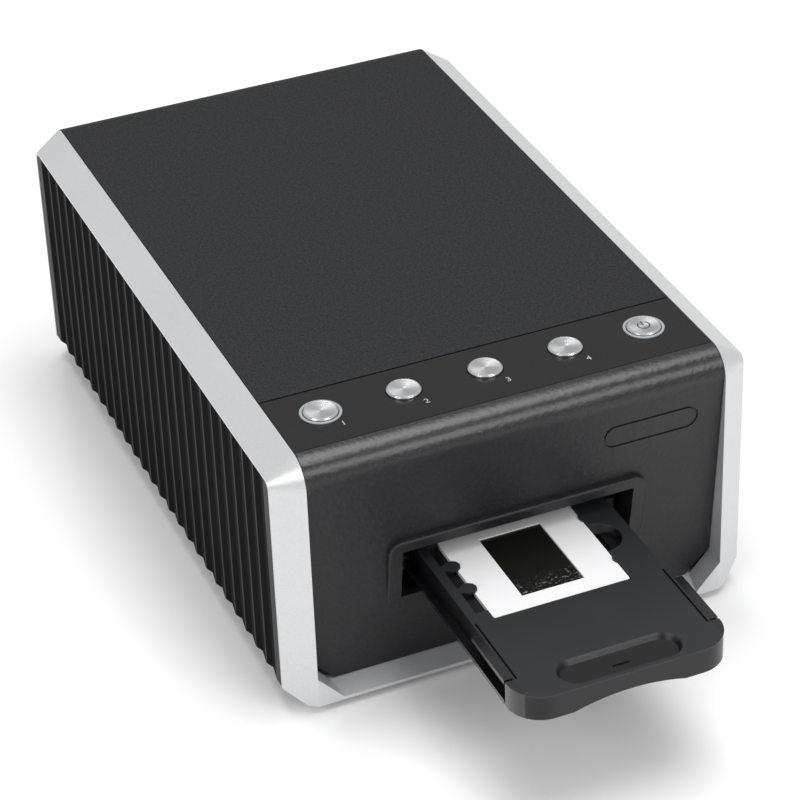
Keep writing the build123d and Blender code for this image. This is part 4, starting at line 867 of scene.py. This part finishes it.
class SCANNER_OT_electronics(ScannerOperator):
    """Finish the circuit boards, chips and sockets"""

    bl_idname = "scanner.electronics"
    bl_label = "Electronics"

    def execute(self, context):
        wear(("main_board", "key_board", "sensor_board", "lamp_board"), circuit_board())
        wear(("board_chips", "key_switches", "dc_inlet"), chip_epoxy())
        wear(("board_capacitors",), drawn_metal("capacitor_cans", (0.6, 0.61, 0.63), Z))
        wear(("usb_socket",), drawn_metal("socket_shell", (0.62, 0.62, 0.6), Y))
        gold = drawn_metal("contact_gold", (0.75, 0.55, 0.2), Y, 0.22)
        half_pitch_x, half_pitch_z, setback = 1.25 * MM, 1.6 * MM, 1.0 * MM
        low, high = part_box("usb_socket")
        for i, (side_x, side_z) in enumerate(((-1, -1), (1, -1), (-1, 1), (1, 1))):
            name = f"usb_contact_{i + 1}"
            x = (low.x + high.x) / 2 + side_x * half_pitch_x
            z = high.z - TONGUE_DROP + side_z * half_pitch_z
            mesh = usb_contact(name, x, z, high.y - setback)
            place_mesh(name, mesh, gold, "housing")
        return {"FINISHED"}


class SCANNER_OT_feet_and_screws(ScannerOperator):
    """Finish the rubber feet and the screws"""

    bl_idname = "scanner.feet_and_screws"
    bl_label = "Feet and screws"

    def execute(self, context):
        wear(("rubber_feet",), rubber_skin())
        screws = ("case_screws", "main_board_screws", "key_board_screws")
        wear(screws, drawn_metal("screw_steel", (0.5, 0.5, 0.5), Z))
        return {"FINISHED"}


def floor_finish():
    """Pale floor that fades into the white background with distance."""
    finish = Finish("pale_floor")
    x, y, _ = finish.place()
    speck = finish.noise(60.0, 3.0)
    shade = finish.mix(speck, rgba((0.95, 0.95, 0.95)), rgba((0.965, 0.965, 0.965)))
    board = finish.node("ShaderNodeBsdfPrincipled", {}, {
        "Base Color": shade, "Roughness": 0.2, "Specular IOR Level": 0.5,
    })
    white = finish.node("ShaderNodeEmission", {}, {"Color": WHITE, "Strength": 1.0})
    seen = finish.node("ShaderNodeLightPath", output="Is Camera Ray")
    fade = x.hypot(y).ramp(*FLOOR_FADE) * seen
    finish.close(finish.node("ShaderNodeMixShader", {}, {0: fade, 1: board, 2: white}))
    return finish.material


class SCANNER_OT_stage(bpy.types.Operator):
    """Set the floor, the soft studio light and the camera"""

    bl_idname = "scanner.stage"
    bl_label = "Stage"

    def execute(self, context):
        stage = context.scene.scanner_stage
        work = bmesh.new()
        bmesh.ops.create_circle(work, cap_ends=True, segments=96, radius=stage.floor_radius)
        floor = bpy.data.objects.new("floor", mesh_from("floor", work))
        context.scene.collection.objects.link(floor)
        floor.data.materials.append(floor_finish())
        self.set_world(stage.room_light)
        for lamp in LAMPS:
            self.add_lamp(*lamp)
        self.add_camera(stage)
        context.scene.view_settings.view_transform = "Standard"
        return {"FINISHED"}

    def set_world(self, strength):
        """Even light from all round, and a white background for the camera."""
        world = bpy.data.worlds.new("studio")
        bpy.context.scene.world = world
        world.use_nodes = True
        sky = Graph(world.node_tree, "ShaderNodeOutputWorld")
        direct = sky.node("ShaderNodeLightPath", output="Is Camera Ray")
        through = sky.node("ShaderNodeLightPath", output="Is Transmission Ray")
        room = sky.node("ShaderNodeBackground", {}, {"Color": WHITE, "Strength": strength})
        white = sky.node("ShaderNodeBackground", {}, {"Color": WHITE, "Strength": 1.0})
        seen = direct.most(through)
        sky.close(sky.node("ShaderNodeMixShader", {}, {0: seen, 1: room, 2: white}))

    def add_lamp(self, name, place, target, width, depth, power):
        """Add a rectangular lamp that shines at its target."""
        lamp = bpy.data.lights.new(name, "AREA")
        lamp.shape = "RECTANGLE"
        lamp.size = width
        lamp.size_y = depth
        lamp.energy = power
        holder = bpy.data.objects.new(name, lamp)
        bpy.context.scene.collection.objects.link(holder)
        holder.location = place
        aim = Vector(target) - Vector(place)
        holder.rotation_euler = aim.to_track_quat("-Z", "Y").to_euler()

    def add_camera(self, stage):
        """Add the camera from its place, its two angles and its roll."""
        camera = bpy.data.cameras.new("camera")
        camera.lens = stage.lens
        camera.sensor_width = 36.0
        camera.sensor_fit = "HORIZONTAL"
        camera.clip_start = 0.02
        camera.clip_end = 20.0
        seat = bpy.data.objects.new("camera", camera)
        bpy.context.scene.collection.objects.link(seat)
        turn, height = stage.turn, stage.height_angle
        back = Vector((
            math.sin(turn) * math.cos(height),
            -math.cos(turn) * math.cos(height),
            math.sin(height),
        ))
        level = Vector((0, 0, 1)).cross(back).normalized()
        upward = back.cross(level)
        right = math.cos(stage.roll) * level + math.sin(stage.roll) * upward
        up = -math.sin(stage.roll) * level + math.cos(stage.roll) * upward
        basis = Matrix((right, up, back)).transposed().to_4x4()
        seat.matrix_world = Matrix.Translation(Vector(stage.camera_place)) @ basis
        bpy.context.scene.camera = seat


class SCANNER_PT_looks(bpy.types.Panel):
    """Lists the steps that build the scanner's looks"""

    bl_idname = "SCANNER_PT_looks"
    bl_label = "Film scanner"
    bl_space_type = "VIEW_3D"
    bl_region_type = "UI"
    bl_category = "Film scanner"

    def draw(self, context):
        for operator in STEPS:
            self.layout.operator(operator.bl_idname)
        for group in (context.scene.scanner_looks, context.scene.scanner_stage):
            for name in group.__annotations__:
                self.layout.prop(group, name)


STEPS = (
    SCANNER_OT_side_frames,
    SCANNER_OT_side_panels,
    SCANNER_OT_covers,
    SCANNER_OT_keys,
    SCANNER_OT_power_mark,
    SCANNER_OT_key_numbers,
    SCANNER_OT_holder,
    SCANNER_OT_drive,
    SCANNER_OT_optics,
    SCANNER_OT_electronics,
    SCANNER_OT_feet_and_screws,
    SCANNER_OT_stage,
)
CLASSES = (ScannerLooks, ScannerStage, *STEPS, SCANNER_PT_looks)


def register():
    for item in CLASSES:
        bpy.utils.register_class(item)
    bpy.types.Scene.scanner_looks = bpy.props.PointerProperty(type=ScannerLooks)
    bpy.types.Scene.scanner_stage = bpy.props.PointerProperty(type=ScannerStage)


def unregister():
    del bpy.types.Scene.scanner_stage
    del bpy.types.Scene.scanner_looks
    for item in reversed(CLASSES):
        bpy.utils.unregister_class(item)


def main():
    register()
    for operator in STEPS:
        section, action = operator.bl_idname.split(".")
        getattr(getattr(bpy.ops, section), action)()


if __name__ == "__main__":
    main()
